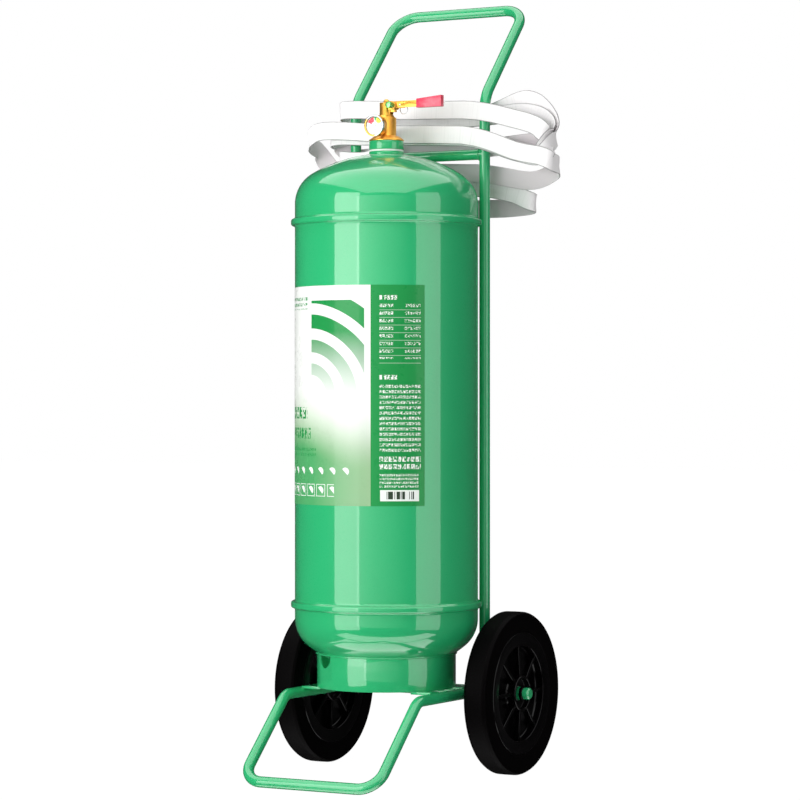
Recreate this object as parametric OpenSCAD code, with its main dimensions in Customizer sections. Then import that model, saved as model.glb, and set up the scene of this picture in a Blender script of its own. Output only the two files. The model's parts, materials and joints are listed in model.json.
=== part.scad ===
// Wheeled fire extinguisher: a welded vessel on a bent-tube trolley with two wheels,
// a brass lever valve with a pressure gauge, and a flat hose wound round the trolley's posts.
// Millimetres, +Z up, -Y is the side that carries the label's middle and the gauge.
// The frame's origin is on the floor under the middle of the trolley and vessel.

/* [Vessel] */
// Outside diameter of the shell
vessel_d = 305; // [290:1:315]
// Wall of the shell and the heads
shell_wall = 2.5; // [2:0.25:4]
// Height of the lower seam above the floor
lower_seam_z = 284; // [278:1:300]
// Distance between the two seams
barrel_h = 635; // [560:5:640]
// Straight part of the upper head above its seam
top_flange_h = 31; // [20:1:35]
// Straight part of the lower head below its seam
bottom_flange_h = 24; // [15:1:28]
// Depth of the upper head's dome
top_dome_h = 84; // [78:1:90]
// Depth of the lower head's dome
bottom_dome_h = 92; // [84:1:94]
// Knuckle radius of both heads
knuckle_r = 58; // [50:1:62]
// How far the seam ridges stand out
seam_proud = 6.5; // [4:0.5:8]
// Height of a seam ridge
seam_h = 11; // [8:0.5:14]

/* [Skirt] */
// Outside diameter of the skirt under the vessel
skirt_d = 231.4; // [220:0.2:232]
// Wall of the skirt
skirt_wall = 3; // [2:0.5:5]
// Diameter of the two drain holes
drain_d = 37; // [25:1:40]
// Length of each drain hole below the head
drain_drop = 22; // [10:1:25]
// Bearing of the first drain hole, from the front towards +X
drain_bearing = -32; // [-60:1:0]

/* [Label] */
// Height of the label's lower edge
label_z = 452; // [400:2:480]
// Height of the label
label_h = 358; // [250:2:400]
// Bearing of its right edge, from the front towards +X
label_right = 54; // [30:1:80]
// Angle that the label wraps round the shell
label_wrap = 149; // [100:1:200]
// Thickness of the label
label_t = 0.3; // [0.2:0.05:0.5]

/* [Trolley] */
// Outside diameter of the bent tubes
tube_d = 18; // [17:0.5:19]
// Wall of the bent tubes
tube_wall = 2; // [1:0.25:3]
// Distance between the centres of the two posts
post_spacing = 251.2; // [248:0.2:256]
// Height above the upper seam where the posts bend back towards the handle
lean_rise = 212; // [200:1:222]
// How far the handle's top lies behind the posts
handle_reach = 148.7; // [120:1:170]
// How far the handle's top lies above the bend
handle_rise = 164.6; // [140:1:190]
// Bend radius where the posts lean back
lean_bend_r = 60; // [45:1:75]
// Bend radius at the handle's corners
handle_bend_r = 40; // [30:1:50]
// Height of the cross tube above the upper seam
cross_rise = 117; // [110:1:121]
// Height of the rails under the vessel, above the axle's middle
rail_rise = 1.3; // [0:0.1:3]
// How far the rails reach in front of the vessel's axis
rail_reach = 115.9; // [112:1:125]
// How far the foot's front rung lies in front of the vessel's axis
foot_reach = 249; // [230:1:270]
// Bend radius where a rail turns down into the foot
foot_bend_r = 32; // [22:1:36]
// Bend radius at the foot's corners
foot_corner_r = 36; // [26:1:45]
// Depth of each lug that carries the skirt
lug_depth = 30; // [20:1:36]
// Thickness of the skirt lugs
lug_t = 4; // [3:0.5:6]
// Distance of the skirt lugs' centres from the vessel's axis, front and back
lug_y = 55; // [45:1:62]

/* [Wheels] */
// Diameter of the tyres
wheel_d = 271.4; // [269:0.2:276]
// Width of the tyres
tyre_w = 39.4; // [30:0.2:40]
// Depth of the rubber
tyre_t = 34; // [20:1:40]
// Rounding of the tyre's shoulders
shoulder_r = 5; // [2:0.5:8]
// Distance between the wheels' middles
track = 364.6; // [364:0.2:380]
// Diameter of the rim's inner edge, where the ribs end
rim_inner_d = 158; // [140:1:180]
// Thickness of the wheel's web
web_t = 6; // [4:0.5:10]
// Diameter of the hub
hub_d = 59.2; // [52:0.2:64]
// Length of the hub
hub_l = 42.6; // [40:0.2:46]
// Depth of the cup in each end of the hub
hub_cup = 10.6; // [6:0.2:12]
// Wall of the hub's cup
hub_cup_wall = 4; // [3:0.5:6]
// Number of ribs on each side of a web
rib_count = 8; // [5:1:12]
// Thickness of a rib
rib_t = 6; // [4:0.5:9]
// Diameter of the axle
axle_d = 20; // [18:0.5:22]
// Length of the axle
axle_l = 434; // [430:1:450]
// Chamfer on the axle's ends
axle_chamfer = 2.5; // [1:0.5:4]
// How far the axle lies in front of the posts
axle_forward = 9.2; // [8:0.2:11]
// Wall of the wheel's bush
bush_wall = 2; // [1.5:0.25:3]
// Wall of the inner spacers
spacer_wall = 3; // [2:0.25:4]
// Wall of the outer sleeves
sleeve_wall = 1.2; // [1:0.1:2]
// Width of the retaining rings
ring_w = 6; // [3:0.5:7]
// How far the retaining rings stand proud of the axle
ring_proud = 1.8; // [1:0.1:3]

/* [Valve] */
// Diameter of the neck, gasket and collar
neck_d = 58; // [54:1:62]
// Diameter of the valve's spigot in the neck
spigot_d = 39; // [36:0.5:42]
// How far the neck stands above the dome
neck_h = 3; // [2:0.5:6]
// Thickness of the neck gasket
gasket_t = 3; // [2:0.5:4]
// Height of the collar
collar_h = 15; // [12:0.5:18]
// Height of the body's domed flange
flange_h = 8; // [6:0.5:10]
// Diameter at the top of the domed flange
flange_top_d = 40; // [36:1:44]
// Diameter of the body above the flange
body_d = 33; // [30:0.5:36]
// Height of the wide part of the body
body_h = 30.6; // [28:0.2:34]
// Diameter of the column on the body
column_d = 23; // [22:0.5:25]
// Height of the column
column_h = 25; // [24:0.2:28]
// Distance of the lever's pivot from the valve's axis
pivot_x = 14.5; // [14:0.25:16]
// Depth of the pivot below the column's top
pivot_drop = 5.1; // [4:0.1:6]
// Radius of the ears round the pivot
ear_r = 7; // [6.6:0.1:8]
// Thickness of each ear
ear_t = 3; // [2.5:0.25:4]
// Width of the slot between the ears
slot_w = 10; // [9:0.25:11]
// Diameter of the pivot bolt
pivot_d = 6; // [5:0.25:7]
// Diameter of the pivot bolt's head
bolt_head_d = 10.8; // [8:0.2:11]
// Length of the pivot bolt's head
bolt_head_l = 13; // [5:0.5:14]
// Diameter of the valve stem
stem_d = 6; // [5:0.25:7]
// Stem travel over the lever's full lift
stem_travel = 3; // [2:0.1:3.5]
// Angle of the lever's full lift
lever_lift = 90; // [60:5:90]
// Radius of the lever's hub
hub_r = 6.3; // [6:0.1:6.6]
// Diameter of the outlet's bore
outlet_bore_d = 12; // [9:0.5:13]
// Diameter of the outlet boss
outlet_d = 22; // [18:0.5:24]
// Distance of the outlet's face from the valve's axis
outlet_reach = 24; // [22:0.5:28]
// Outside diameter of the dip tube
dip_d = 19; // [16:0.5:20]
// Wall of the dip tube
dip_wall = 1.5; // [1:0.25:2.5]
// Gap between the strainer and the vessel's bottom
dip_clear = 12; // [8:1:30]
// Number of turns of the stem spring
spring_turns = 5; // [4:1:7]
// Wire of the stem spring
spring_wire = 1.2; // [1:0.1:1.6]

/* [Lever and pin] */
// Length of the lever from its pivot to its end
lever_l = 92; // [80:1:105]
// Height of the lever's arm
arm_h = 10.5; // [9:0.25:11]
// Thickness of the lever's arm
arm_t = 6; // [4:0.5:8]
// How far the arm's middle lies above the pivot
arm_rise = 1.7; // [0.5:0.1:2]
// Length of the grip
grip_l = 47; // [40:1:55]
// Height of the grip at its inner end
grip_h_in = 14.6; // [13:0.2:16]
// Height of the grip at its outer end
grip_h_out = 18.8; // [16:0.2:21]
// Thickness of the grip
grip_t = 10; // [9:0.5:12]
// Distance of the safety pin from the lever's pivot
pin_x = 12.5; // [12:0.25:14]
// Diameter of the safety pin
pin_d = 3; // [2.5:0.25:3.5]
// Radius of the pull ring
pull_r = 7.2; // [7:0.2:9]
// Wire of the pull ring
pull_wire = 1.4; // [1.2:0.1:1.6]

/* [Gauge] */
// Diameter of the gauge's bezel
gauge_d = 36; // [34:0.5:38]
// Distance of the gauge's front from the valve's axis
gauge_reach = 43; // [42:0.5:46]
// Height of the gauge above the body's flange
gauge_rise = 15; // [13:0.25:17]
// Depth of the gauge's case
gauge_depth = 15; // [14:0.25:17]
// Diameter of the gauge's stub
stub_d = 10; // [8:0.5:11]
// Length of the needle's pointer
needle_l = 12.5; // [9:0.25:13]

/* [Hose] */
// Width of the flat hose
hose_w = 31; // [30:0.5:31]
// Thickness of the flat hose
hose_t = 3; // [2:0.25:3]
// Diameter of the hose where it is round, at its couplings
hose_round_d = 20; // [18:0.5:22]
// Bore of the couplings' tails
tail_bore_d = 12; // [9:0.5:13]
// Wall of the couplings' tails
tail_wall = 2.6; // [2:0.1:3]
// Length of the ferrules
ferrule_l = 19; // [15:0.5:22]
// Wall of the ferrules
ferrule_wall = 3.8; // [2.5:0.1:4.5]
// Length of the couplings' hexagons
hex_l = 7; // [5:0.5:8]

/* [Nozzle] */
// Diameter of the nozzle's valve housing
housing_d = 32; // [30:0.5:34]
// Length of the valve housing
housing_l = 34; // [32:0.5:40]
// Diameter of the nozzle's ball
ball_d = 18; // [16:0.5:20]
// Diameter of the nozzle's waterway
waterway_d = 10; // [7:0.5:11]
// Diameter of the nozzle's neck in its hanger
nozzle_neck_d = 26; // [24:0.5:28]
// Length of the nozzle's neck
nozzle_neck_l = 20; // [18:0.5:26]
// Diameter of the nozzle's barrel under its grip
barrel_pipe_d = 22; // [20:0.5:23]
// Length of the grip sleeve
sleeve_l = 70; // [50:1:90]
// Wall of the grip sleeve
sleeve_t = 4; // [3:0.25:5]
// Length of the nozzle's tip
tip_l = 70; // [50:1:90]
// Diameter of the tip's end
tip_end_d = 14; // [12:0.5:18]
// Bore of the tip
tip_bore_d = 7; // [4:0.5:8]
// Length of the nozzle's lever
nozzle_lever_l = 50; // [35:1:60]

/* [Fits] */
// Gap between welded or seated pieces
seat_gap = 0.2; // [0.1:0.05:0.3]
// Radial clearance of running fits
run_fit = 0.05; // [0.03:0.01:0.09]

/* [Hidden] */
$fn = 64;
e = 0.01;  // overlap of cutting tools

green = [0.10, 0.58, 0.34];
brass = [0.90, 0.62, 0.16];
black = [0.05, 0.05, 0.05];
steel = [0.75, 0.75, 0.77];
white = [0.95, 0.95, 0.93];
red = [0.87, 0.18, 0.24];

vessel_r = vessel_d / 2;
tube_r = tube_d / 2;
seam_r = vessel_r + seam_proud;
upper_seam_z = lower_seam_z + barrel_h;
top_base_z = upper_seam_z + top_flange_h;
top_z = top_base_z + top_dome_h;
bottom_base_z = lower_seam_z - bottom_flange_h;
bottom_z = bottom_base_z - bottom_dome_h;
lean_z = upper_seam_z + lean_rise;
cross_z = upper_seam_z + cross_rise;
rail_z = wheel_d / 2 + rail_rise;

// The posts stand against the seam ridges.
post_x = post_spacing / 2;
post_y = sqrt(pow(seam_r + tube_r + seat_gap, 2) - pow(post_x, 2));
post_foot_z = rail_z - tube_r;
lean = atan2(handle_reach, handle_rise);
lean_l = norm([handle_reach, handle_rise]);
foot_drop = rail_z - tube_r;
foot_run = foot_reach - rail_reach;
foot_angle = atan2(foot_drop, foot_run);
foot_l = norm([foot_run, foot_drop]);
bend_lap = 0.5;  // straights reach this far over the bends
bend_slim = 0.05;  // bends are this much slimmer than straights
skirt_r = skirt_d / 2;
skirt_z = rail_z + tube_r + 1;

axle_r = axle_d / 2;
axle_y = post_y - axle_forward;
wheel_r = wheel_d / 2;
axle_z = wheel_r;
wheel_x = track / 2;
hub_floor = hub_l / 2 - hub_cup;
bush_r = axle_r + run_fit + bush_wall;
sleeve_end_x = wheel_x + hub_l / 2 - 3.4;
groove_r = axle_r - 1;  // floor of the groove that each retaining ring sits in
ring_play = 0.3;

neck_z = top_z + neck_h;
collar_z = neck_z + gasket_t;
flange_z = collar_z + collar_h;
body_z = flange_z + flange_h;
column_z = body_z + body_h;
column_top_z = column_z + column_h;
neck_r = neck_d / 2;
spigot_r = spigot_d / 2 - run_fit;
spigot_l = 35;
pivot_z = column_top_z - pivot_drop;
cam_gap = 0.4;
foot_top_z = pivot_z - hub_r - cam_gap;
foot_t = 4;
slot_floor_z = foot_top_z - foot_t - stem_travel - 0.7;
slot_x = pivot_x - hub_r - stem_travel - 0.7;
slot_half = slot_w / 2;
ear_y = slot_half + ear_t;
seat_z = body_z + 3;
chamber_r = 9;
seat_lip_t = 2;
upper_chamber_r = 7;
upper_chamber_top = seat_z + 20;
seat_bore_r = 5;
plug_r = 12;
plug_top_z = seat_z - 30;
plug_h = 14;
outlet_z = seat_z + 11;
outlet_turn = 30;  // the outlet turns this far from the back towards -X
seal_t = 3.9;
disc_t = 4;
disc_r = 8;
disc_top_z = seat_z - run_fit - seal_t;
tab_end = pin_x + 4;
tab_rise = 4;  // the tab's top above the pin's middle
// The pin moves this far towards the pivot while it rises out of its notch.
pin_sweep = pin_x - sqrt(pow(pin_x, 2) - pow(tab_rise + pin_d / 2, 2));
pin_z = pivot_z + 1;
gauge_z = body_z + gauge_rise;
port_tilt = 15;  // the gauge's port slants down to the lower chamber
dip_r = dip_d / 2;

bezel_r = gauge_d / 2;
case_r = bezel_r - 1;
case_back_y = -(gauge_reach - 2 - gauge_depth + 1);
dial_y = -(gauge_reach - 4.5);

coupling_end_y = outlet_reach + hex_l + ferrule_l;
ferrule_r = tail_bore_d / 2 + tail_wall + run_fit + ferrule_wall;
tail_r = tail_bore_d / 2 + tail_wall;

nozzle_at = [-95, 150];
route_seam_z = 919;  // the hose route's heights are given for an upper seam at this height
route_rise = upper_seam_z - route_seam_z;
nozzle_top_z = 925 + route_rise;
housing_z = nozzle_top_z - ferrule_l - hex_l;
nozzle_neck_z = housing_z - housing_l;
collar_t = 4;
sleeve_z = nozzle_neck_z - collar_t - nozzle_neck_l;
tip_z = sleeve_z - sleeve_l - 4;
ball_z = housing_z - housing_l / 2;
hanger_wall = 3;
hanger_h = 17;

// The origin lies midway between the foot's front and the handle's back.
front_y = -foot_reach - tube_r;
back_y = post_y + handle_reach + tube_r;
axis_y = -(front_y + back_y) / 2;

// ---------- hose route ----------
// Four turns hang round the posts. Each turn runs from the middle of its back run to the right,
// over the front to the left, and back to the middle of the next back run.
hose_mid_x = 40;
turn_right_x = [242, 247.5, 252, 256.5];
turn_left_x = [-155, -167, -172, -215];
turn_front_y = [99.8, 95.5, 91.4, 87.2];
turn_back_y = [126, 132, 138, 144, 158];
// Heights at twelve even steps of each turn, starting at the middle of its back run
turn_heights = [
    [1046, 1052, 1055, 1060, 1078, 1093, 1113, 1120, 1122, 1119, 1111, 1104],
    [1100, 1105, 1090, 1058, 1031, 1038, 1068, 1075, 1077, 1075, 1080, 1090],
    [1098, 1127, 1096, 1052, 1028, 1038, 1068, 1075, 1077, 1072, 1052, 1032],
    [1010, 991, 1003, 1016, 1027, 1038, 1071, 1085, 1084, 1062, 1026, 1002],
];
coil_last_z = 988;
rings_per_turn = 24;

// From the valve's coupling to the first turn
outlet_way = [-sin(outlet_turn), cos(outlet_turn), 0];
lead_points = [50 * outlet_way + [0, 0, 1077], 62 * outlet_way + [0, 0, 1075.5], [-38, 63, 1070],
    [-47, 72, 1060], [-58, 80, 1048], [-72, 87.5, 1039], [-90, 94.5, 1034], [-110, 99.5, 1033], [-129, 101.6, 1034],
    [-147, 104, 1036], [-157, 112, 1037], [-148, 121, 1038], [-125, 125.4, 1040], [-85, 126, 1042],
    [-25, 126, 1044], [40, 126, 1046]];
// From the last turn to the nozzle
tail_points = [[40, 158, 988], [85, 157, 984], [125, 154, 979], [162, 151, 970], [183, 149, 961],
    [193, 150, 957], [197.5, 156, 954], [193, 162, 952], [178, 164, 950], [142, 166, 948],
    [95, 168, 948], [40, 170, 948], [-10, 170, 950], [-50, 165, 954], [-78, 157, 955], [-91, 151.5, 949],
    [-95, 150, 938], [-95, 150, 925]];

function unit(v) = v / norm(v);
function mix(a, b, t) = a + (b - a) * t;
function clamp(v, low, high) = min(max(v, low), high);
function spline(p0, p1, p2, p3, t) =
    p1 + (p2 - p0) * t / 2 + (2 * p0 - 5 * p1 + 4 * p2 - p3) * t * t / 2
    + (3 * p1 - p0 - 3 * p2 + p3) * t * t * t / 2;
// A value on the smooth curve through list, at a place counted in its steps
function along(list, s) =
    let (n = len(list), i = clamp(floor(s), 0, n - 2))
    spline(list[max(i - 1, 0)], list[i], list[i + 1], list[min(i + 2, n - 1)], s - i);
all_heights = [for (row = turn_heights) each row, coil_last_z];
turns = len(turn_heights);
function raised(points) = [for (p = points) p + [0, 0, route_rise]];
function signed_power(v, p) = sign(v) * pow(abs(v), p);
function coil_point(s) =
    let (k = min(floor(s / 12), turns - 1), angle = (s - 12 * k) * 30, right = angle <= 180,
        reach = right ? turn_right_x[k] - hose_mid_x : hose_mid_x - turn_left_x[k],
        back = right ? turn_back_y[k] : turn_back_y[k + 1], front = turn_front_y[k])
    [hose_mid_x + reach * signed_power(sin(angle), 1 / 2),
        (back + front) / 2 + (back - front) / 2 * signed_power(cos(angle), 1 / 3),
        along(all_heights, s) + route_rise];
function coil_points(per_turn) = [for (i = [0 : turns * per_turn]) coil_point(i * 12 / per_turn)];
function smooth(list, steps) =
    [for (i = [0 : (len(list) - 1) * steps]) along(list, i / steps)];
function headings(p, first, last) =
    [for (i = [0 : len(p) - 1]) i == 0 ? first : i == len(p) - 1 ? last : unit(p[i + 1] - p[i - 1])];
// The direction across the flat hose: as upright as its heading lets it be
function across(heading, upright) = unit(upright - (upright * heading) * heading);
// Eight corners of the hose's section, flat or round
function section(half_w, half_t) =
    let (c = 0.59 * half_t)
    [[half_w, half_t - c], [half_w - c, half_t], [c - half_w, half_t], [-half_w, half_t - c],
        [-half_w, c - half_t], [c - half_w, -half_t], [half_w - c, -half_t], [half_w, c - half_t]];
function hose_ring(point, heading, upright, round_share) =
    let (w = across(heading, upright), n = cross(heading, w),
        half_w = mix(hose_w, hose_round_d, round_share) / 2,
        half_t = mix(hose_t, hose_round_d, round_share) / 2)
    [for (c = section(half_w, half_t)) point + c[0] * w + c[1] * n];

coil_rings = coil_points(rings_per_turn);
coil_first = unit(coil_rings[1] - coil_rings[0]);
coil_last = unit(coil_rings[len(coil_rings) - 1] - coil_rings[len(coil_rings) - 2]);

module hose_tube(points, first, last, uprights, round_shares) {
    h = headings(points, first, last);
    rings = [for (i = [0 : len(points) - 1]) hose_ring(points[i], h[i], uprights[i], round_shares[i])];
    sides = 8;
    last_ring = (len(points) - 1) * sides;
    polyhedron(
        points = [for (r = rings) each r],
        faces = [
            for (i = [1 : sides - 2]) [0, i, i + 1],
            for (i = [1 : sides - 2]) [last_ring, last_ring + i + 1, last_ring + i],
            for (i = [0 : len(points) - 2], j = [0 : sides - 1])
                each let (a = i * sides + j, b = i * sides + (j + 1) % sides)
                    [[a, a + sides, b], [b, a + sides, b + sides]],
        ],
        convexity = 10);
}

// ---------- helpers ----------
module at_axis() {
    translate([0, axis_y, 0]) children();
}

module ring(outer_r, inner_r, h) {
    difference() {
        cylinder(h = h, r = outer_r);
        translate([0, 0, -e]) cylinder(h = h + 2 * e, r = inner_r);
    }
}

// A bar or a hole along +X, starting at the origin
module along_x(h, r) {
    rotate([0, 90, 0]) cylinder(h = h, r = r);
}

// A bar or a hole along +Y, starting at the origin
module along_y(h, r) {
    rotate([-90, 0, 0]) cylinder(h = h, r = r);
}

// A tube's bend: it starts at the origin heading +Z and turns towards +X
module bend(bend_r, angle, r) {
    translate([bend_r, 0, 0])
        rotate([90, 0, 180])
            rotate_extrude(angle = angle)
                translate([bend_r, 0]) circle(r = r);
}

// Places what follows a bend at the bend's far end
module after_bend(bend_r, angle) {
    translate([bend_r * (1 - cos(angle)), 0, bend_r * sin(angle)])
        rotate([0, angle, 0]) children();
}

// A head's outline from its middle, or its hole's edge, to its base line: crown, then knuckle
crown_steps = 16;
knuckle_steps = 16;
function crown_r(r, dome_h, knuckle) =
    (pow(dome_h, 2) - pow(knuckle, 2) + pow(r - knuckle, 2)) / (2 * (dome_h - knuckle));
function dome_outline(r, dome_h, knuckle, hole_r) =
    let (crown = crown_r(r, dome_h, knuckle), turn = asin((r - knuckle) / (crown - knuckle)),
        start = asin(hole_r / crown))
    concat(
        [for (i = [0 : crown_steps])
            let (a = mix(start, turn, i / crown_steps)) [crown * sin(a), dome_h - crown + crown * cos(a)]],
        [for (i = [1 : knuckle_steps])
            let (a = mix(turn, 90, i / knuckle_steps)) [r - knuckle + knuckle * sin(a), knuckle * cos(a)]]);
function reversed(list) = [for (i = [len(list) - 1 : -1 : 0]) list[i]];

module dome_solid(r, dome_h, knuckle, flange_h) {
    outline = dome_outline(r, dome_h, knuckle, 0);
    rotate_extrude($fn = 120) polygon(concat(outline, [[r, -flange_h], [0, -flange_h]]));
}

module head(dome_h, flange_h, hole_r) {
    inner_r = vessel_r - shell_wall;
    rotate_extrude($fn = 120) polygon(concat(
        dome_outline(vessel_r, dome_h, knuckle_r, hole_r),
        [[vessel_r, -flange_h], [inner_r, -flange_h]],
        reversed(dome_outline(inner_r, dome_h - shell_wall, knuckle_r - shell_wall, hole_r))));
}

// ---------- vessel ----------
module barrel() {
    color(green) at_axis() translate([0, 0, lower_seam_z])
        ring(vessel_r, vessel_r - shell_wall, barrel_h);
}

module top_head() {
    color(green) at_axis() translate([0, 0, top_base_z])
        head(top_dome_h, top_flange_h, neck_r + seat_gap);
}

module bottom_head() {
    color(green) at_axis() translate([0, 0, bottom_base_z])
        mirror([0, 0, 1]) head(bottom_dome_h, bottom_flange_h, 0);
}

module seam_ridge(z) {
    color(green) at_axis() translate([0, 0, z]) rotate_extrude($fn = 120) intersection() {
        translate([vessel_r + seat_gap, -seam_h / 2]) square([seam_proud, seam_h]);
        translate([seam_r - seam_h, 0]) circle(r = seam_h);
    }
}

module upper_seam() {
    seam_ridge(upper_seam_z);
}

module lower_seam() {
    seam_ridge(lower_seam_z);
}

module neck_ring() {
    color(green) at_axis() translate([0, 0, top_z - 12])
        ring(neck_r, spigot_d / 2, neck_z - top_z + 12);
}

module base_ring() {
    color(green) at_axis() difference() {
        translate([0, 0, skirt_z]) ring(skirt_r, skirt_r - skirt_wall, bottom_base_z - skirt_z);
        translate([0, 0, bottom_base_z]) mirror([0, 0, 1])
            dome_solid(vessel_r + seat_gap, bottom_dome_h + seat_gap, knuckle_r + seat_gap, 5);
        for (bearing = [drain_bearing, drain_bearing + 180])
            rotate([0, 0, bearing]) translate([0, -skirt_r, drain_z()]) {
                translate([0, -5, 0]) along_y(10 + skirt_wall, drain_d / 2);
                translate([-drain_d / 2, -5, 0]) cube([drain_d, 10 + skirt_wall, drain_d]);
            }
    }
}

// Height where the skirt meets the lower head
function skirt_top_z() =
    let (crown = crown_r(vessel_r, bottom_dome_h, knuckle_r))
    bottom_base_z - bottom_dome_h + crown - sqrt(pow(crown, 2) - pow(skirt_r, 2));
function drain_z() = skirt_top_z() - drain_drop + drain_d / 2;

module label() {
    color(white) at_axis() translate([0, 0, label_z])
        rotate([0, 0, label_right - 90 - label_wrap])
            rotate_extrude(angle = label_wrap, $fn = 120)
                translate([vessel_r + run_fit, 0]) square([label_t, label_h]);
}

// ---------- trolley ----------
// A tube's straight, which laps over the slimmer bends at its ends
module straight_tube(h, r) {
    translate([0, 0, -bend_lap]) cylinder(h = h + 2 * bend_lap, r = r);
}

// Right post and the right half of the handle without its rung
module handle_half(r) {
    lean_cut = lean_bend_r * tan(lean / 2);
    post_l = lean_z - lean_cut - post_foot_z;
    leaning = lean_l - lean_cut - handle_bend_r;
    translate([post_x, post_y, post_foot_z]) rotate([0, 0, 90]) {
        straight_tube(post_l, r);
        translate([0, 0, post_l]) {
            bend(lean_bend_r, lean, r - bend_slim);
            after_bend(lean_bend_r, lean) {
                straight_tube(leaning, r);
                translate([0, 0, leaning]) rotate([0, 0, 90]) bend(handle_bend_r, 90, r - bend_slim);
            }
        }
    }
}

module handle_tube(r) {
    half = post_x - handle_bend_r + bend_lap;
    both_halves() handle_half(r);
    translate([-half, post_y + handle_reach, lean_z + handle_rise]) along_x(2 * half, r);
}

module both_halves() {
    children();
    mirror([1, 0, 0]) children();
}

module axle_cut() {
    translate([-axle_l / 2, axle_y, axle_z]) along_x(axle_l, axle_r + seat_gap);
}

module handle_frame() {
    color(green) at_axis() difference() {
        handle_tube(tube_r);
        handle_tube(tube_r - tube_wall);
        both_halves() translate([post_x, post_y, post_foot_z - 5]) cylinder(h = 10, r = tube_r - tube_wall);
        axle_cut();
    }
}

// Right rail and its leg, from the axle forwards, without the front rung
module foot_half(r) {
    cut = foot_bend_r * tan(foot_angle / 2);
    rail_l = axle_y + rail_reach - cut;
    leg = foot_l - cut - foot_corner_r;
    translate([post_x, axle_y, rail_z]) rotate([90, 0, 0]) rotate([0, 0, -90]) {
        straight_tube(rail_l, r);
        translate([0, 0, rail_l]) {
            bend(foot_bend_r, foot_angle, r - bend_slim);
            after_bend(foot_bend_r, foot_angle) {
                straight_tube(leg, r);
                translate([0, 0, leg]) rotate([0, 0, -90]) bend(foot_corner_r, 90, r - bend_slim);
            }
        }
    }
}

module foot_tube(r) {
    half = post_x - foot_corner_r + bend_lap;
    both_halves() foot_half(r);
    translate([-half, -foot_reach, tube_r]) along_x(2 * half, r);
}

module foot_frame() {
    color(green) at_axis() difference() {
        foot_tube(tube_r);
        foot_tube(tube_r - tube_wall);
        axle_cut();
    }
}

module cross_tube() {
    color(green) at_axis() difference() {
        translate([-post_x, post_y, cross_z]) along_x(2 * post_x, tube_r);
        translate([-post_x - 1, post_y, cross_z]) along_x(2 * post_x + 2, tube_r - tube_wall);
        for (side = [-1, 1])
            translate([side * post_x, post_y, cross_z - tube_d])
                cylinder(h = 2 * tube_d, r = tube_r + seat_gap);
    }
}

module skirt_lugs() {
    inner_x = sqrt(pow(skirt_r, 2) - pow(lug_y + lug_depth / 2, 2)) - 2 * skirt_wall;
    outer_x = post_x - tube_r / 3;
    color(green) at_axis() for (side = [-1, 1], end = [-1, 1])
        difference() {
            translate([side > 0 ? inner_x : -outer_x, end * lug_y - lug_depth / 2, skirt_z - lug_t])
                cube([outer_x - inner_x, lug_depth, lug_t]);
            translate([side * post_x, -rail_reach, rail_z]) along_y(2 * rail_reach, tube_r + seat_gap);
        }
}

module axle() {
    color(green) difference() {
        at_axis() translate([-axle_l / 2, axle_y, axle_z]) rotate([0, 90, 0]) {
            cylinder(h = axle_chamfer + e, r1 = axle_r - axle_chamfer, r2 = axle_r);
            translate([0, 0, axle_chamfer]) cylinder(h = axle_l - 2 * axle_chamfer, r = axle_r);
            translate([0, 0, axle_l - axle_chamfer - e])
                cylinder(h = axle_chamfer + e, r1 = axle_r, r2 = axle_r - axle_chamfer);
        }
        axle_pair(sleeve_end_x, sleeve_end_x + ring_w, axle_r + 1, groove_r);
    }
}

// A ring on the axle, on both sides, between two distances from the middle
module axle_pair(from_x, to_x, outer_r, inner_r) {
    at_axis() for (side = [0, 1]) mirror([side, 0, 0])
        translate([from_x, axle_y, axle_z]) rotate([0, 90, 0]) ring(outer_r, inner_r, to_x - from_x);
}

module inner_spacers() {
    color(green) axle_pair(post_x + tube_r + seat_gap, wheel_x - hub_floor - 0.3,
        axle_r + run_fit + spacer_wall, axle_r + run_fit);
}

module outer_sleeves() {
    color(green) axle_pair(wheel_x + hub_floor + 0.3, sleeve_end_x, axle_r + run_fit + sleeve_wall,
        axle_r + run_fit);
}

module axle_rings() {
    color(black) axle_pair(sleeve_end_x, sleeve_end_x + ring_w - ring_play, axle_r + ring_proud,
        groove_r + run_fit);
}

module on_wheel(side) {
    at_axis() translate([side * wheel_x, axle_y, axle_z]) rotate([0, 90, 0]) children();
}

module tyre(side) {
    inner_r = wheel_r - tyre_t;
    color(black) on_wheel(side) rotate_extrude($fn = 120) difference() {
        union() {
            translate([inner_r, -tyre_w / 2]) square([tyre_t - shoulder_r, tyre_w]);
            translate([inner_r, shoulder_r - tyre_w / 2]) square([tyre_t, tyre_w - 2 * shoulder_r]);
            for (end = [-1, 1])
                translate([wheel_r - shoulder_r, end * (tyre_w / 2 - shoulder_r)]) circle(r = shoulder_r);
        }
    }
}

module wheel_hub(side) {
    rim_outer_r = wheel_r - tyre_t - run_fit;
    rim_w = tyre_w - 1;
    rib_h = rim_w - 5;
    color(black) on_wheel(side) {
        difference() {
            union() {
                translate([0, 0, -rim_w / 2]) ring(rim_outer_r, rim_inner_d / 2, rim_w);
                translate([0, 0, -web_t / 2]) cylinder(h = web_t, r = rim_inner_d / 2 + 1);
                translate([0, 0, -hub_l / 2]) cylinder(h = hub_l, r = hub_d / 2);
                for (i = [0 : rib_count - 1]) rotate([0, 0, i * 360 / rib_count])
                    translate([hub_d / 2 - 1, -rib_t / 2, -rib_h / 2])
                        cube([(rim_inner_d - hub_d) / 2 + 2, rib_t, rib_h]);
            }
            for (end = [-1, 1]) translate([0, 0, end > 0 ? hub_floor : -hub_l / 2 - e])
                cylinder(h = hub_cup + e, r = hub_d / 2 - hub_cup_wall);
            translate([0, 0, -hub_l / 2]) cylinder(h = hub_l, r = bush_r + run_fit);
        }
    }
}

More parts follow.
